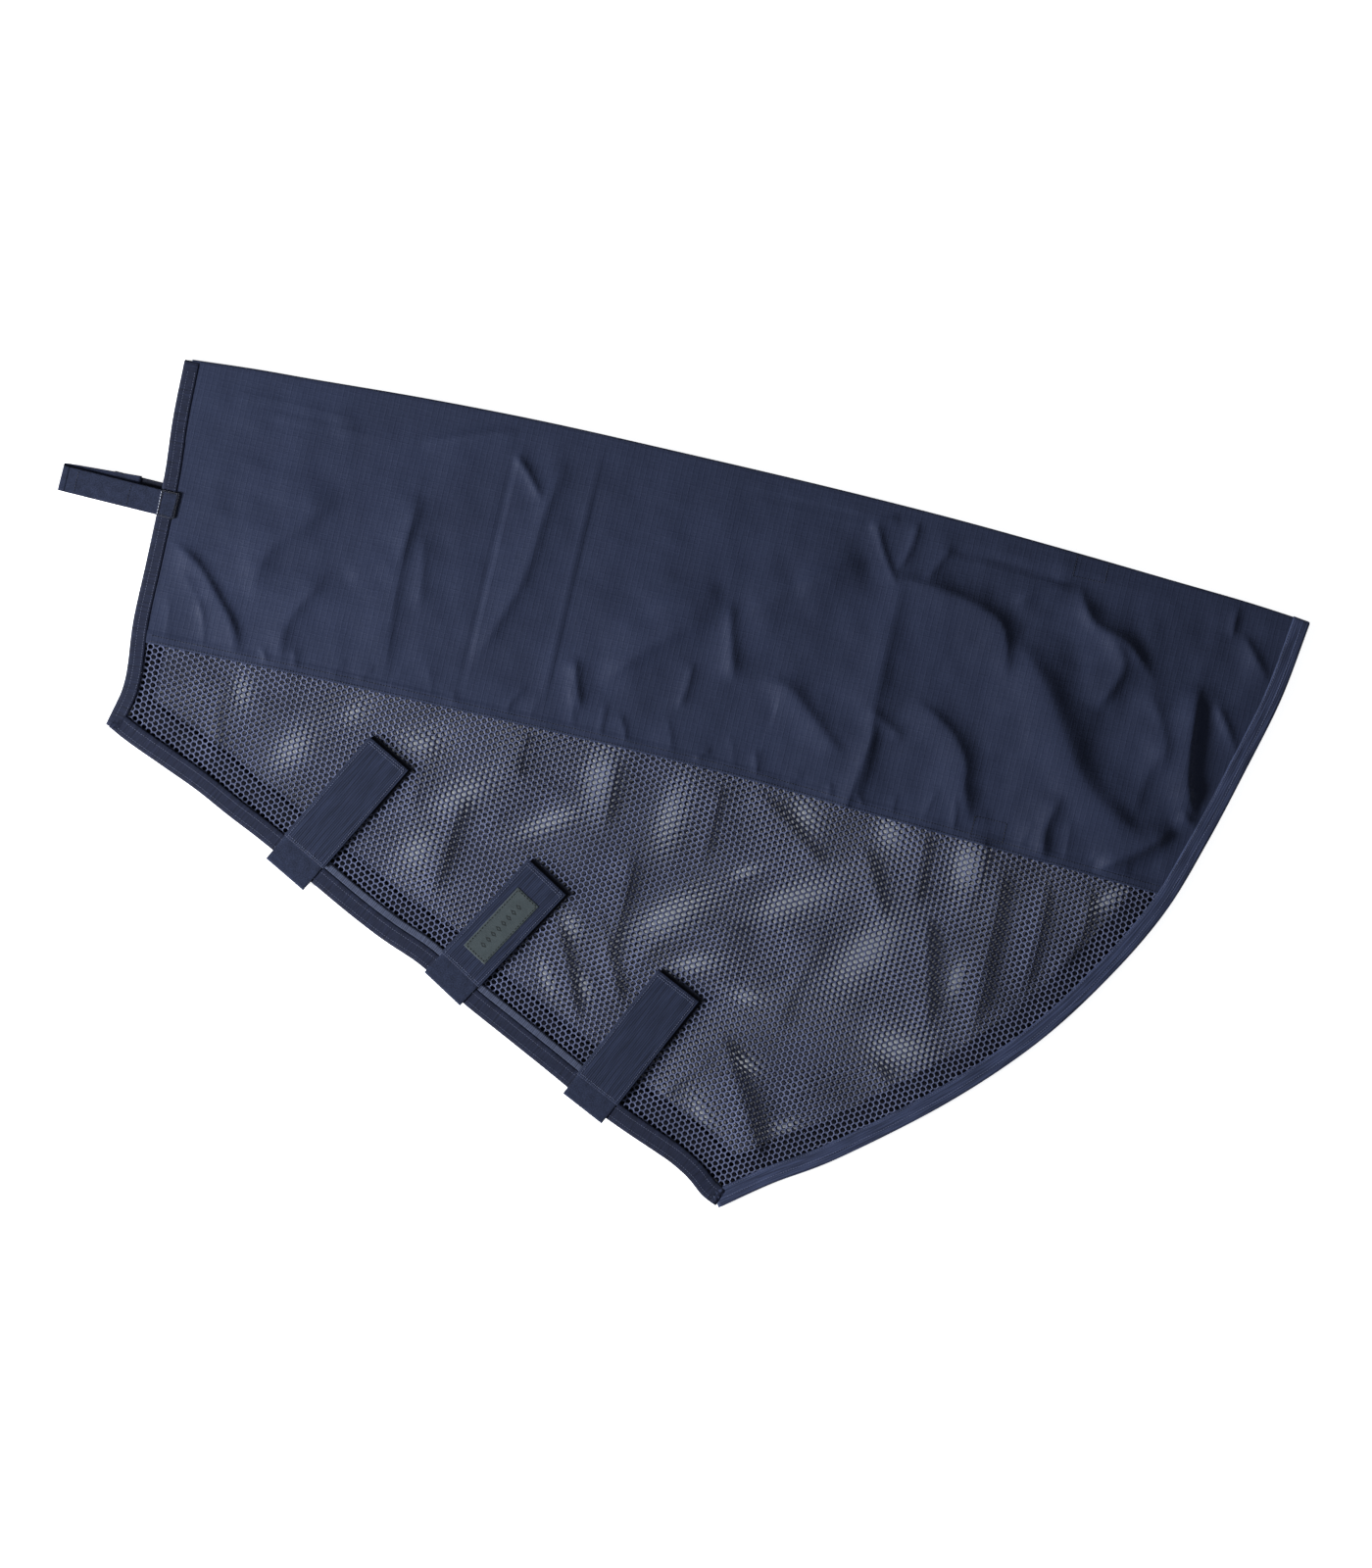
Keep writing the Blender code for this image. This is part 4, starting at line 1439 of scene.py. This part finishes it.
@dataclass
class EdgeBinding:
    """Tape folded round one edge, with two rows of stitches on each face.

    Attributes:
        rows: how far in from the outer edge its stitches run.
        width: width of its face.
    """

    room: Workroom
    edge: Edge
    rows: tuple[float, float]
    width: float = BINDING_WIDTH
    tape: Finish = Finish.BINDING

    def inward(self, line: Array) -> Array:
        """Unit vectors in plan that point from the edge into the cover."""
        run = unit(np.gradient(line, axis=0))
        side = np.stack([run[:, 1], -run[:, 0]], axis=1)
        return side * np.sign(((np.array(COVER_MIDDLE) - line) * side).sum(1).mean())

    def flat_run(self, inset: float, trim: tuple[float, float]) -> Array:
        """The line that lies inset from the edge, shortened at its two ends."""
        line = getattr(self.room.outline, self.edge.value)
        shifted = even_line(line + self.inward(line) * inset, 4.0)
        length = arc_lengths(shifted)
        return shifted[(length >= trim[0]) & (length <= length[-1] - trim[1])]

    def sewn(
        self, name: str, rings: Array, path: Array, profile: Array, nodes: Sequence[str], body: str
    ) -> Piece:
        """The tape through rings of plan places and heights, kept off the floor."""
        rings[..., 2] = np.maximum(rings[..., 2], FLOOR_GAP)
        place = self.room.plan.place(*np.moveaxis(rings, -1, 0))
        piece = tube(f"{name}_tape", place, arc_lengths(path), profile)
        return self.room.hang(piece, self.tape, "binding_tape", body, nodes)

    def throat_tape(self, half: str) -> Piece:
        """The throat's binding on one half."""
        line = self.flat_run(self.width / 2, (2.0, 1.5))
        profile = tape_profile(self.width, BINDING_THICKNESS, 7)
        up = np.tile([0.0, 0.0, 1.0 if half == "near" else -1.0], (len(line), 1))
        rings = sweep_grid(flat_vectors(line), flat_vectors(self.inward(line)), up, profile)
        level = NEAR_BINDING_LEVEL if half == "near" else FAR_BINDING_LEVEL
        rings[..., 2] += self.room.height(half, rings[..., 0], rings[..., 1], level)
        name = f"throat_binding_{half}"
        return self.sewn(name, rings, line, profile, [name], f"{half}_half")

    def crossing_tape(self) -> Piece:
        """A binding that runs from one throat corner over the crest to the other."""
        line = self.flat_run(self.width / 2, (0.0, 0.0))
        if line[0, 1] > line[-1, 1]:
            line = line[::-1]
        radius = (NEAR_BINDING_LEVEL - FAR_BINDING_LEVEL) / 2
        middle = (NEAR_BINDING_LEVEL + FAR_BINDING_LEVEL) / 2
        line = line[line[:, 1] > line[0, 1] + radius + BINDING_THICKNESS / 2]
        turn = np.linspace(math.pi / 2, -math.pi / 2, 13)[1:-1]
        zero, one, c, s = np.zeros(len(turn)), np.ones(len(turn)), np.cos(turn), np.sin(turn)
        near = np.column_stack([line, np.full(len(line), NEAR_BINDING_LEVEL)])[::-1]
        far = np.column_stack([line, np.full(len(line), FAR_BINDING_LEVEL)])
        bend = np.column_stack([one * line[0, 0], line[0, 1] - radius * c, middle + radius * s])
        centres = np.vstack([near, bend, far])
        inward = flat_vectors(self.inward(line))
        across = np.vstack([inward[::-1], np.tile(inward[0], (len(turn), 1)), inward])
        rise = np.tile([0.0, 0.0, 1.0], (len(line), 1))
        up = np.vstack([rise, np.column_stack([zero, -c, s]), -rise])
        profile = tape_profile(self.width, BINDING_THICKNESS, 7)
        rings = sweep_grid(centres, across, up, profile)
        share = smoothstep(rings[..., 2], middle, NEAR_BINDING_LEVEL - 0.5)
        rings[..., 2] += self.room.relief.at(rings[..., 0], rings[..., 1]) * share
        name = f"{self.edge.value}_binding"
        piece = self.sewn(name, rings, centres, profile, [f"{name}_near", f"{name}_far"], "")
        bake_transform(piece)
        return piece

    def stitching(self, half: str) -> Piece:
        """The two rows of stitches on one half's face of the binding."""
        room, near, runs = self.room, half == "near", []
        for inset in self.rows:
            line = self.flat_run(inset, (9.0, 12.0))
            if self.edge is not Edge.THROAT:
                line = line[line[:, 1] > getattr(room.outline, self.edge.value)[:, 1].min() + 6]
            level = NEAR_BINDING_LEVEL + BINDING_THICKNESS / 2 + 0.08 if near else 0.32
            height = room.height("near" if near else "flat", line[:, 0], line[:, 1], level)
            up = np.tile([0.0, 0.0, 1.0 if near else -1.0], (len(line), 1))
            points = room.millimetres(line[:, 0], line[:, 1], height)
            runs.append(stitch_run(points, up, pitch=2.7, length=1.7, girth=0.25))
        piece = stitches(f"{self.edge.value}_binding_stitching_{half}", runs)
        return room.hang(piece, Finish.THREAD, "binding_tape", f"{half}_half")

    def strip(
        self, name: str, half: str, inset: float, width: float, level: float, finish: Finish,
        trim: tuple[float, float] = (12.0, 12.0),
    ) -> Piece:
        """A flat strip along the inside of the binding.

        Args:
            name: the piece's name.
            half: near or far.
            inset: where its middle runs, in from the outer edge.
            width: its width.
            level: its height.
            finish: its finish.
            trim: how much shorter than the edge it is at its two ends.

        Returns:
            The piece, riding on its half.
        """
        line = self.flat_run(inset, trim)
        offsets = np.linspace(-width / 2, width / 2, 5)
        grid = line[:, None] + self.inward(line)[:, None] * offsets[None, :, None]
        along, down = grid[..., 0], grid[..., 1]
        height = self.room.height(half, along, down, level)
        top, low = (self.room.plan.place(along, down, height + side) for side in (0.12, -0.12))
        lengths = np.repeat(arc_lengths(line)[:, None], 5, axis=1)
        uv = np.stack([lengths, np.tile(offsets, (len(line), 1))], axis=-1) * MM
        return self.room.hang(slab(name, top, low, uv), finish, "binding_tape", f"{half}_half")

    def make(self) -> list[Piece]:
        """Builds the tapes and the stitches."""
        if self.edge is Edge.THROAT:
            made = [self.throat_tape("near"), self.throat_tape("far")]
        else:
            made = [self.crossing_tape()]
        return [*made, self.stitching("near"), self.stitching("far")]


# ---------------- straps


@dataclass(frozen=True)
class LocalRun:
    """A straight strip's own axes in plan: its origin and the direction of its length."""

    start: tuple[float, float]
    ahead: tuple[float, float]

    def plan_of(self, length: Array, side: Array) -> tuple[Array, Array]:
        """Plan places of a distance ahead and a distance to the right, seen from above."""
        ahead = unit(np.array(self.ahead))
        along = self.start[0] + ahead[0] * length - ahead[1] * side
        down = self.start[1] + ahead[1] * length + ahead[0] * side
        return along, down


def laid_strip(
    room: Workroom, name: str, run: LocalRun, lengths: tuple[float, float], width: float, level: float,
    thickness: float, half: str = "near", shift: float = 0.0, bow: float = 0.0,
) -> Piece:
    """A flat strip with rounded edges that follows the cloth under it.

    Its half thickness is t * sqrt(1 - (1 - g)^2), where g is the distance from its rim over the
    rim's breadth, up to 1.

    Args:
        name: the piece's name.
        run: its axes.
        lengths: where it starts and ends along them.
        width: its width.
        level: its mid height over flat cloth.
        thickness: its thickness.
        half: near, far, or flat for no relief.
        shift: how far its middle lies to the right.
        bow: how much its middle stands prouder than its edges.

    Returns:
        The piece.
    """
    start, end = lengths
    edge, rim, margin = np.array([0.0, 0.25, 0.8]), 0.8, 1.6
    inner = np.linspace(start + margin, end - margin, max(4, int((end - start) / 3)))
    cross = np.linspace(-width / 2 + margin, width / 2 - margin, max(3, int(width / 4)))
    s = np.concatenate([start + edge, inner, end - edge[::-1]])
    w = np.concatenate([-width / 2 + edge, cross, width / 2 - edge[::-1]])
    s, w = np.meshgrid(s, w, indexing="ij")
    gap = np.minimum(np.minimum(s - start, end - s), width / 2 - np.abs(w))
    half_t = thickness / 2 * np.sqrt(np.clip(1 - (1 - np.clip(gap / rim, 0, 1)) ** 2, 0.02, 1))
    along, down = run.plan_of(s, w + shift)
    height = room.height(half, along, down, level)
    top = room.plan.place(along, down, height + half_t + bow * smoothstep(gap, 0.0, 5.0))
    low = room.plan.place(along, down, height - half_t)
    return slab(name, top, low, np.stack([s - (start + end) / 2, w], axis=-1) * MM)


def laid_stitches(
    room: Workroom, run: LocalRun, stations: Sequence[tuple[float, float]], level: float,
    pitch: float = 2.7, length: float = 1.9, girth: float = 0.3,
) -> tuple[Array, Array]:
    """A run of stitches through (length, side) stations of a strip's axes on the near half."""
    line = even_line(np.asarray(stations, float), 1.2)
    along, down = run.plan_of(line[:, 0], line[:, 1])
    up = np.tile([0.0, 0.0, 1.0], (len(line), 1))
    height = room.height("near", along, down, level)
    return stitch_run(room.millimetres(along, down, height), up, pitch, length, girth)


def rectangle(low: float, high: float, half_width: float) -> list[tuple[float, float]]:
    """The corners of a rectangle in a strip's axes, back to the first."""
    return [(low, -half_width), (high, -half_width), (high, half_width), (low, half_width), (low, -half_width)]


def folded_rings(path: Array, profile: Array) -> Array:
    """A tape's section carried along a path of (length, side, height), upright across it."""
    run = unit(np.gradient(path, axis=0))
    up = np.column_stack([-run[:, 2], np.zeros(len(path)), run[:, 0]])
    return sweep_grid(path, np.tile([0.0, 1.0, 0.0], (len(path), 1)), up, profile)


@dataclass
class ClosingStrap:
    """A closing strap: sewn inside the near half, folded back over the throat edge.

    Attributes:
        number: 1 to 3 from the poll.
        run: its axes, from the middle of its fold inward.
        pad: where its cover starts and ends.
        labelled: whether it carries the label.
    """

    room: Workroom
    number: int
    run: LocalRun
    pad: tuple[float, float]
    labelled: bool = False
    width: float = 50.0
    cover_width: float = 53.0
    thickness: float = 0.8
    root_length: float = 42.0
    label_size: tuple[float, float] = (81.0, 29.0)
    label_middle: float = 88.0

    @property
    def body(self) -> str:
        """The frame's body that swings."""
        return f"closing_strap_{self.number}"

    def tape(self) -> Piece:
        """The napped tape from its root, round its fold, to under the cover."""
        room = self.room
        radius, middle = (STRAP_LEVEL - ROOT_LEVEL) / 2, (STRAP_LEVEL + ROOT_LEVEL) / 2
        root = np.linspace(self.root_length, radius + 1, 14)
        turn = np.linspace(-math.pi / 2, math.pi / 2, 13)
        out = np.linspace(radius + 1, self.pad[0] + 17, 18)
        s = np.concatenate([root, radius - radius * np.cos(turn), out])
        z = np.concatenate([np.full(14, ROOT_LEVEL), middle + radius * np.sin(turn), np.full(18, STRAP_LEVEL)])
        path = np.column_stack([s, np.zeros(len(s)), z])
        profile = tape_profile(self.width, self.thickness, 11)
        rings = folded_rings(path, profile)
        along, down = self.run.plan_of(rings[..., 0], rings[..., 1])
        share = smoothstep(rings[..., 2], middle, STRAP_LEVEL - 0.6)
        place = room.plan.place(along, down, rings[..., 2] + room.relief.at(along, down) * share)
        piece = tube(f"strap_{self.number}_tape", place, arc_lengths(path), profile)
        nodes = [f"strap_root_{self.number}", f"strap_tape_{self.number}"]
        room.hang(piece, Finish.LOOP, "loop_tape", stands_for=nodes)
        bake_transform(piece)
        return piece

    def cover(self) -> list[Piece]:
        """The hook tape, the cover over it and the cover's stitches."""
        room, run, name, (low, high) = self.room, self.run, f"strap_{self.number}", self.pad
        hook = laid_strip(room, f"{name}_hook", run, (low + 19, high - 3), 46, 7.05, 0.7)
        room.hang(hook, Finish.HOOK, "hook_tape", self.body, [f"hook_tape_{self.number}"])
        cover = laid_strip(room, f"{name}_cover", run, self.pad, self.cover_width, COVER_LEVEL, 0.9, bow=0.25)
        room.hang(cover, Finish.COVER, "strap_cover", self.body, [f"strap_cover_{self.number}"])
        half, top = self.cover_width / 2 - 3.2, COVER_LEVEL + 0.45 + 0.3
        rows = (rectangle(low + 3.0, high - 3.0, half), [(high - 5.6, -half), (high - 5.6, half)])
        runs = [laid_stitches(room, run, row, top, pitch=2.5, length=1.8) for row in rows]
        sewing = stitches(f"{name}_stitching", runs)
        return [hook, cover, room.hang(sewing, Finish.THREAD, "strap_cover", self.body)]

    def landings(self) -> list[Piece]:
        """The loop patches that the strap closes on, one on each half."""
        made, high = [], self.pad[1] + 4.0
        # The near patch is painted far darker than the far one and reaches past the cover's end and right side, so its
        # edge shows as painted shadow beside the strap.
        spots = (("near", LANDING_LEVEL, 2.6, Finish.SHADOW_LANDING), ("far", 0.36, 0.0, Finish.LOOP))
        for half, level, shift, finish in spots:
            name = f"landing_{half}_{self.number}"
            patch = laid_strip(self.room, name, self.run, (high - 62, high), 53, level, 0.6, half, shift)
            node = f"landing_patch_{half}_{self.number}"
            made.append(self.room.hang(patch, finish, "loop_tape", f"{half}_half", [node]))
        return made

    def label(self) -> list[Piece]:
        """The sewn label, a sage cloth with its border stitched in olive."""
        room, (length, width) = self.room, self.label_size
        low, high = self.label_middle - length / 2, self.label_middle + length / 2
        patch = laid_strip(room, "label", self.run, (low, high), width, LABEL_LEVEL, 0.5)
        room.hang(patch, Finish.LABEL, "label_cloth", self.body, ["label_patch"])
        corners = rectangle(low + 2.0, high - 2.0, width / 2 - 2.0)
        line = laid_stitches(room, self.run, corners, LABEL_LEVEL + 0.3, pitch=3.6, length=2.5, girth=0.5)
        sewing = stitches("label_stitching", [line])
        return [patch, room.hang(sewing, Finish.LABEL_THREAD, "label_cloth", self.body)]

    def make(self) -> list[Piece]:
        """Builds every part of the strap."""
        made = [self.tape(), *self.cover(), *self.landings()]
        return made + self.label() if self.labelled else made


# ---------------- loop and tabs


@dataclass
class HeadcollarLoop:
    """The loop that a headcollar runs through: a tape out, folded back under itself.

    Attributes:
        down: where its middle lies.
        reach: how far it stands out past the poll end.
    """

    room: Workroom
    down: float = 159.0
    reach: float = 97.0
    width: float = 26.0
    root_end: float = 24.0
    return_end: float = -17.0

    def axes(self, shift: float = 0.0) -> LocalRun:
        """Its axes: from the poll end's edge outward."""
        return LocalRun((0.0, self.down + shift), (-1.0, -0.012))

    def top_tape(self) -> Piece:
        """The upper tape from its sewn root to short of its fold."""
        lengths = (-self.root_end, self.reach - 6)
        piece = laid_strip(self.room, "headcollar_loop_tape", self.axes(), lengths, self.width, STRAP_LEVEL, 0.8)
        self.room.hang(piece, Finish.LOOP, "loop_tape", stands_for=["loop_root_tab", "loop_tape"])
        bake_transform(piece)
        return piece

    def return_tape(self) -> Piece:
        """The fold at the end and the layer that comes back under the upper tape."""
        room, reach = self.room, self.reach
        radius, middle = (STRAP_LEVEL - RETURN_LEVEL) / 2, (STRAP_LEVEL + RETURN_LEVEL) / 2
        start = np.linspace(reach - 7.0, reach - radius, 4)
        turn = np.linspace(math.pi / 2, -math.pi / 2, 13)
        back = np.linspace(reach - radius - 3, -self.return_end, 24)
        s = np.concatenate([start[:-1], reach - radius + radius * np.cos(turn), back])
        z = np.concatenate([np.full(3, STRAP_LEVEL), middle + radius * np.sin(turn), np.full(24, RETURN_LEVEL)])
        path = np.column_stack([s, np.zeros(len(s)), z])
        profile = tape_profile(self.width - 0.2, 0.78, 7)
        rings = folded_rings(path, profile)
        slide = smoothstep(-rings[..., 2], -STRAP_LEVEL + 0.4, -RETURN_LEVEL)
        along, down = self.axes().plan_of(rings[..., 0], rings[..., 1])
        share = (reach - rings[..., 0]) / (reach + self.return_end)
        shift = -(3.2 + 5.6 * np.clip(share, 0, 1)) * slide
        place = room.plan.place(along, down + shift, rings[..., 2])
        piece = tube("headcollar_loop_return", place, arc_lengths(path), profile)
        room.hang(piece, Finish.LOOP, "loop_tape", stands_for=["loop_return_tape"])
        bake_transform(piece)
        return piece

    def lower_tab(self) -> Piece:
        """The tab under the poll's binding that the return layer fastens to."""
        piece = laid_strip(
            self.room, "headcollar_loop_lower_tab", self.axes(-7.5), (-20.0, 45.0), self.width, ROOT_LEVEL, 0.8, "flat"
        )
        return self.room.hang(piece, Finish.HOOK, "loop_tape", "near_half", ["loop_lower_tab"])

    def sewing(self) -> list[Piece]:
        """The bar tack, the box at the root with a ring of painted shadow round it, and two rows across the tape."""
        top, half = STRAP_LEVEL + 0.48, self.width / 2
        box = (rectangle(-22.5, -8.0, half - 1.2), top, 2.2, 2.0, 0.4)
        # rim: a wider ring of thick near-black stitches just outside the box and past the tape's sides, painted shadow
        # of the gap round the sewn root.
        rim = (rectangle(-24.6, -7.0, half + 0.1), top - 0.5, 1.6, 1.8, 0.7)
        bar = ([(-7.2, -half + 0.8), (-6.2, half - 0.8)], top + 0.05, 2.9, 2.5, 0.6)
        rows = [([(at, -half + 2), (at, half - 2)], top, 2.7, 1.9, 0.42) for at in (25.5, 80.5)]
        made = []
        for name, runs, finish, body in (
            ("root_box", [box, rim], Finish.DARK_THREAD, "near_half"),
            ("bar_tack", [bar], Finish.PALE_THREAD, "near_half"),
            ("rows", rows, Finish.DARK_THREAD, "headcollar_loop"),
        ):
            lines = [laid_stitches(self.room, self.axes(), *run) for run in runs]
            piece = stitches(f"headcollar_loop_{name}", lines)
            made.append(self.room.hang(piece, finish, "loop_tape", body))
        return made

    def make(self) -> list[Piece]:
        """Builds the loop."""
        return [self.top_tape(), self.return_tape(), self.lower_tab(), *self.sewing()]


@dataclass
class RugTabs:
    """The tabs inside the cover that fasten it to the rug."""

    room: Workroom
    length: float = 130.0
    width: float = 25.0

    def make(self) -> list[Piece]:
        """Builds the crest tab and the side tab of each half."""
        made = []
        for half, level in (("near", NEAR_TAB_LEVEL), ("far", FAR_TAB_LEVEL)):
            for tab, along, down in (("crest_tab", 931.0, 16.5), ("side_tab", 892.0, 288.0)):
                run, name = LocalRun((along, down), (1.0, 0.0)), f"{tab}_{half}"
                piece = laid_strip(self.room, f"{name}_tape", run, (0.0, self.length), self.width, level, 0.6, "flat")
                made.append(self.room.hang(piece, Finish.LOOP, "loop_tape", f"{half}_half", [name]))
        return made


# ---------------- studio


@dataclass
class Studio:
    """The pale floor, the lights and the camera.

    Attributes:
        plan: where the cover lies.
        outline: its edges.
        under_glow: how strongly the sheet under the cover glows at the net's clear patches: painted light for light
            coming through both nets' holes.
        turn: the camera's turn about the upright axis, in degrees.
        aim: frame (x, y) under the middle of the picture.
        frame_height: metres of floor from the picture's bottom to its top.
    """

    plan: Plan
    outline: Outline
    under_glow: float = 0.17
    turn: float = 13.2437
    aim: tuple[float, float] = (0.0554, 0.0488)
    frame_height: float = 1.6
    lens: float = 100.0
    sensor: float = 36.0
    subject_height: float = 0.005

    def sheet_of(
        self, name: str, points: Array, faces: Array, paleness: float, light: Colour, glow: Array
    ) -> None:
        """A flat pale sheet of that paleness, lit from within by the light at each corner."""
        sketch = NodeSketch(name)
        tone = sketch.noise(sketch.node("TexCoord").outputs["Object"], 0.35)
        sketch.paint(sketch.ramp(tone, (0.97, 0.98, 1.0), (paleness * 0.97, paleness), (0.3, 0.7)))
        levels = {"Roughness": 0.9, "Specular IOR Level": 0.1, "Emission Color": (*light, 1.0)}
        for socket, level in levels.items():
            sketch.shader.inputs[socket].default_value = level
        own_light = sketch.node("Attribute")
        own_light.attribute_name = "glow"
        sketch.link(own_light.outputs["Fac"], sketch.shader.inputs["Emission Strength"])
        mesh = bpy.data.meshes.new(name)
        mesh.from_pydata(points.tolist(), [], faces.tolist())
        layer = mesh.attributes.new("glow", "FLOAT", "POINT")
        layer.data.foreach_set("value", np.asarray(glow, np.float32))
        sheet = bpy.data.objects.new(name, mesh)
        mesh.materials.append(sketch.material)
        bpy.context.scene.collection.objects.link(sheet)

    def floor(self) -> None:
        """A broad, evenly glowing floor, and under the cover a darker bluish sheet: painted shade under the cover, with
        its glow as painted light at the clear patches.
        """
        reach = 9.0
        square = np.array([(-reach, -reach), (reach, -reach), (reach, reach), (-reach, reach)])
        corners = np.column_stack([square, np.full(4, -0.0006)])
        self.sheet_of("floor", corners, np.array([[0, 1, 2, 3]]), 0.84, (1.0, 1.0, 1.0), np.full(4, 0.85))
        along, down = np.meshgrid(np.arange(0.0, 1184.0, 6.0), np.arange(-24.0, 740.0, 6.0))
        spots = np.stack([along.ravel(), down.ravel()], axis=1)
        kept = self.outline.inside(spots) & (self.outline.edge_distance(spots) > 8.0)
        kept &= spots[:, 1] > self.outline.crest_down(spots[:, 0]) + 8.0
        # The glow is painted light: faint everywhere under the cover and strongest at the clear patches, where light
        # would come through both nets.
        glow = self.under_glow * (0.06 + clearness(spots))
        faces = grid_faces(*along.shape)
        faces = faces[kept[faces].all(axis=1)]
        points = self.plan.place(spots[:, 0], spots[:, 1], np.full(len(spots), -0.3))
        # Paleness 0.30 against the open floor's 0.84 is painted shade under the cover, and the bluish glow colour is
        # part of the painted light.
        self.sheet_of("floor_under_cover", points, faces, 0.30, (0.78, 0.86, 1.0), glow)

    def lamp(self, name: str, azimuth: float, elevation: float, distance: float, size: float, power: float) -> None:
        """A square lamp of that size and power in watts, aimed at the cover's middle.

        Its azimuth is in degrees anticlockwise from the picture's right, its elevation above the floor.
        """
        data = bpy.data.lights.new(name, "AREA")
        data.shape, data.size, data.energy = "SQUARE", size, power
        lamp = bpy.data.objects.new(name, data)
        around, up = math.radians(azimuth + self.turn), math.radians(elevation)
        ray = Vector((math.cos(up) * math.cos(around), math.cos(up) * math.sin(around), math.sin(up)))
        lamp.location = Vector((0.05, 0.05, 0.0)) + ray * distance
        lamp.rotation_euler = ray.to_track_quat("Z", "Y").to_euler()
        bpy.context.scene.collection.objects.link(lamp)

    def lights(self) -> None:
        """A soft key low on the left, a weak lamp overhead and a pale surround."""
        self.lamp("key", 194.0, 24.0, 3.4, 0.8, 290.0)
        self.lamp("top", 100.0, 78.0, 3.2, 2.4, 8.0)
        world = bpy.data.worlds.new("studio")
        world.use_nodes = True
        backdrop = world.node_tree.nodes["Background"]
        backdrop.inputs[0].default_value = (0.95, 0.97, 1.0, 1.0)
        backdrop.inputs[1].default_value = 0.14
        bpy.context.scene.world = world

    def camera(self) -> None:
        """A long lens straight above the floor, turned so that the crest slopes to the right."""
        data = bpy.data.cameras.new("camera")
        data.lens, data.sensor_width, data.clip_end = self.lens, self.sensor, 50.0
        camera = bpy.data.objects.new("camera", data)
        distance = self.frame_height * self.lens / self.sensor
        camera.location = (*self.aim, distance + self.subject_height)
        camera.rotation_euler = (0.0, 0.0, math.radians(self.turn))
        bpy.context.scene.collection.objects.link(camera)
        bpy.context.scene.camera = camera

    def make(self) -> None:
        """Sets up the floor, the lights, the camera and the view."""
        self.floor()
        self.lights()
        self.camera()
        bpy.context.scene.view_settings.view_transform = "Standard"


# ---------------- the whole cover


def main() -> None:
    """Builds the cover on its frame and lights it."""
    logging.basicConfig(level=logging.INFO, format="%(name)s %(message)s")
    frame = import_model()
    outline = Outline()
    room = Workroom(Plan.from_frame(frame), outline, Relief(outline), Wardrobe())
    Studio(room.plan, outline).make()
    made: list[Piece] = CrestPanel(room).make()
    made += [HexNet(room, "near").make(), HexNet(room, "far").make()]
    poll = EdgeBinding(room, Edge.POLL, (6.0, 13.4), 16.0)
    throat = EdgeBinding(room, Edge.THROAT, (4.6, 14.6))
    # The shoulder's binding takes the painted-light copy of the binding tape.
    shoulder = EdgeBinding(room, Edge.SHOULDER, (7.0, 16.0), 18.0, Finish.LIGHT_BINDING)
    for binding in (poll, throat, shoulder):
        made += binding.make()
    made.append(throat.strip("throat_selvedge", "near", 23.5, 8.5, 5.35, Finish.SELVEDGE, (262.0, 190.0)))
    # The far half's near-black facing strips, in from each binding, are painted shade seen through the near net's holes
    # along its edges.
    for binding, width in ((poll, 14.0), (throat, 31.0), (shoulder, 23.0)):
        name = f"{binding.edge.value}_facing"
        made.append(binding.strip(name, "far", 18.0 + width / 2, width, FAR_FACING_LEVEL, Finish.FACING))
    straps = [
        ClosingStrap(room, number, LocalRun(start, ahead), pad, labelled=number == 2)
        for number, (start, ahead, pad) in enumerate(STRAP_RUNS, start=1)
    ]
    for strap in straps:
        made += strap.make()
    made += HeadcollarLoop(room).make()
    made += RugTabs(room).make()
    triangles = sum(len(face.vertices) - 2 for piece in made for face in piece.data.polygons)
    LOG.info("%d pieces, %d triangles", len(made), triangles)


if __name__ == "__main__":
    main()
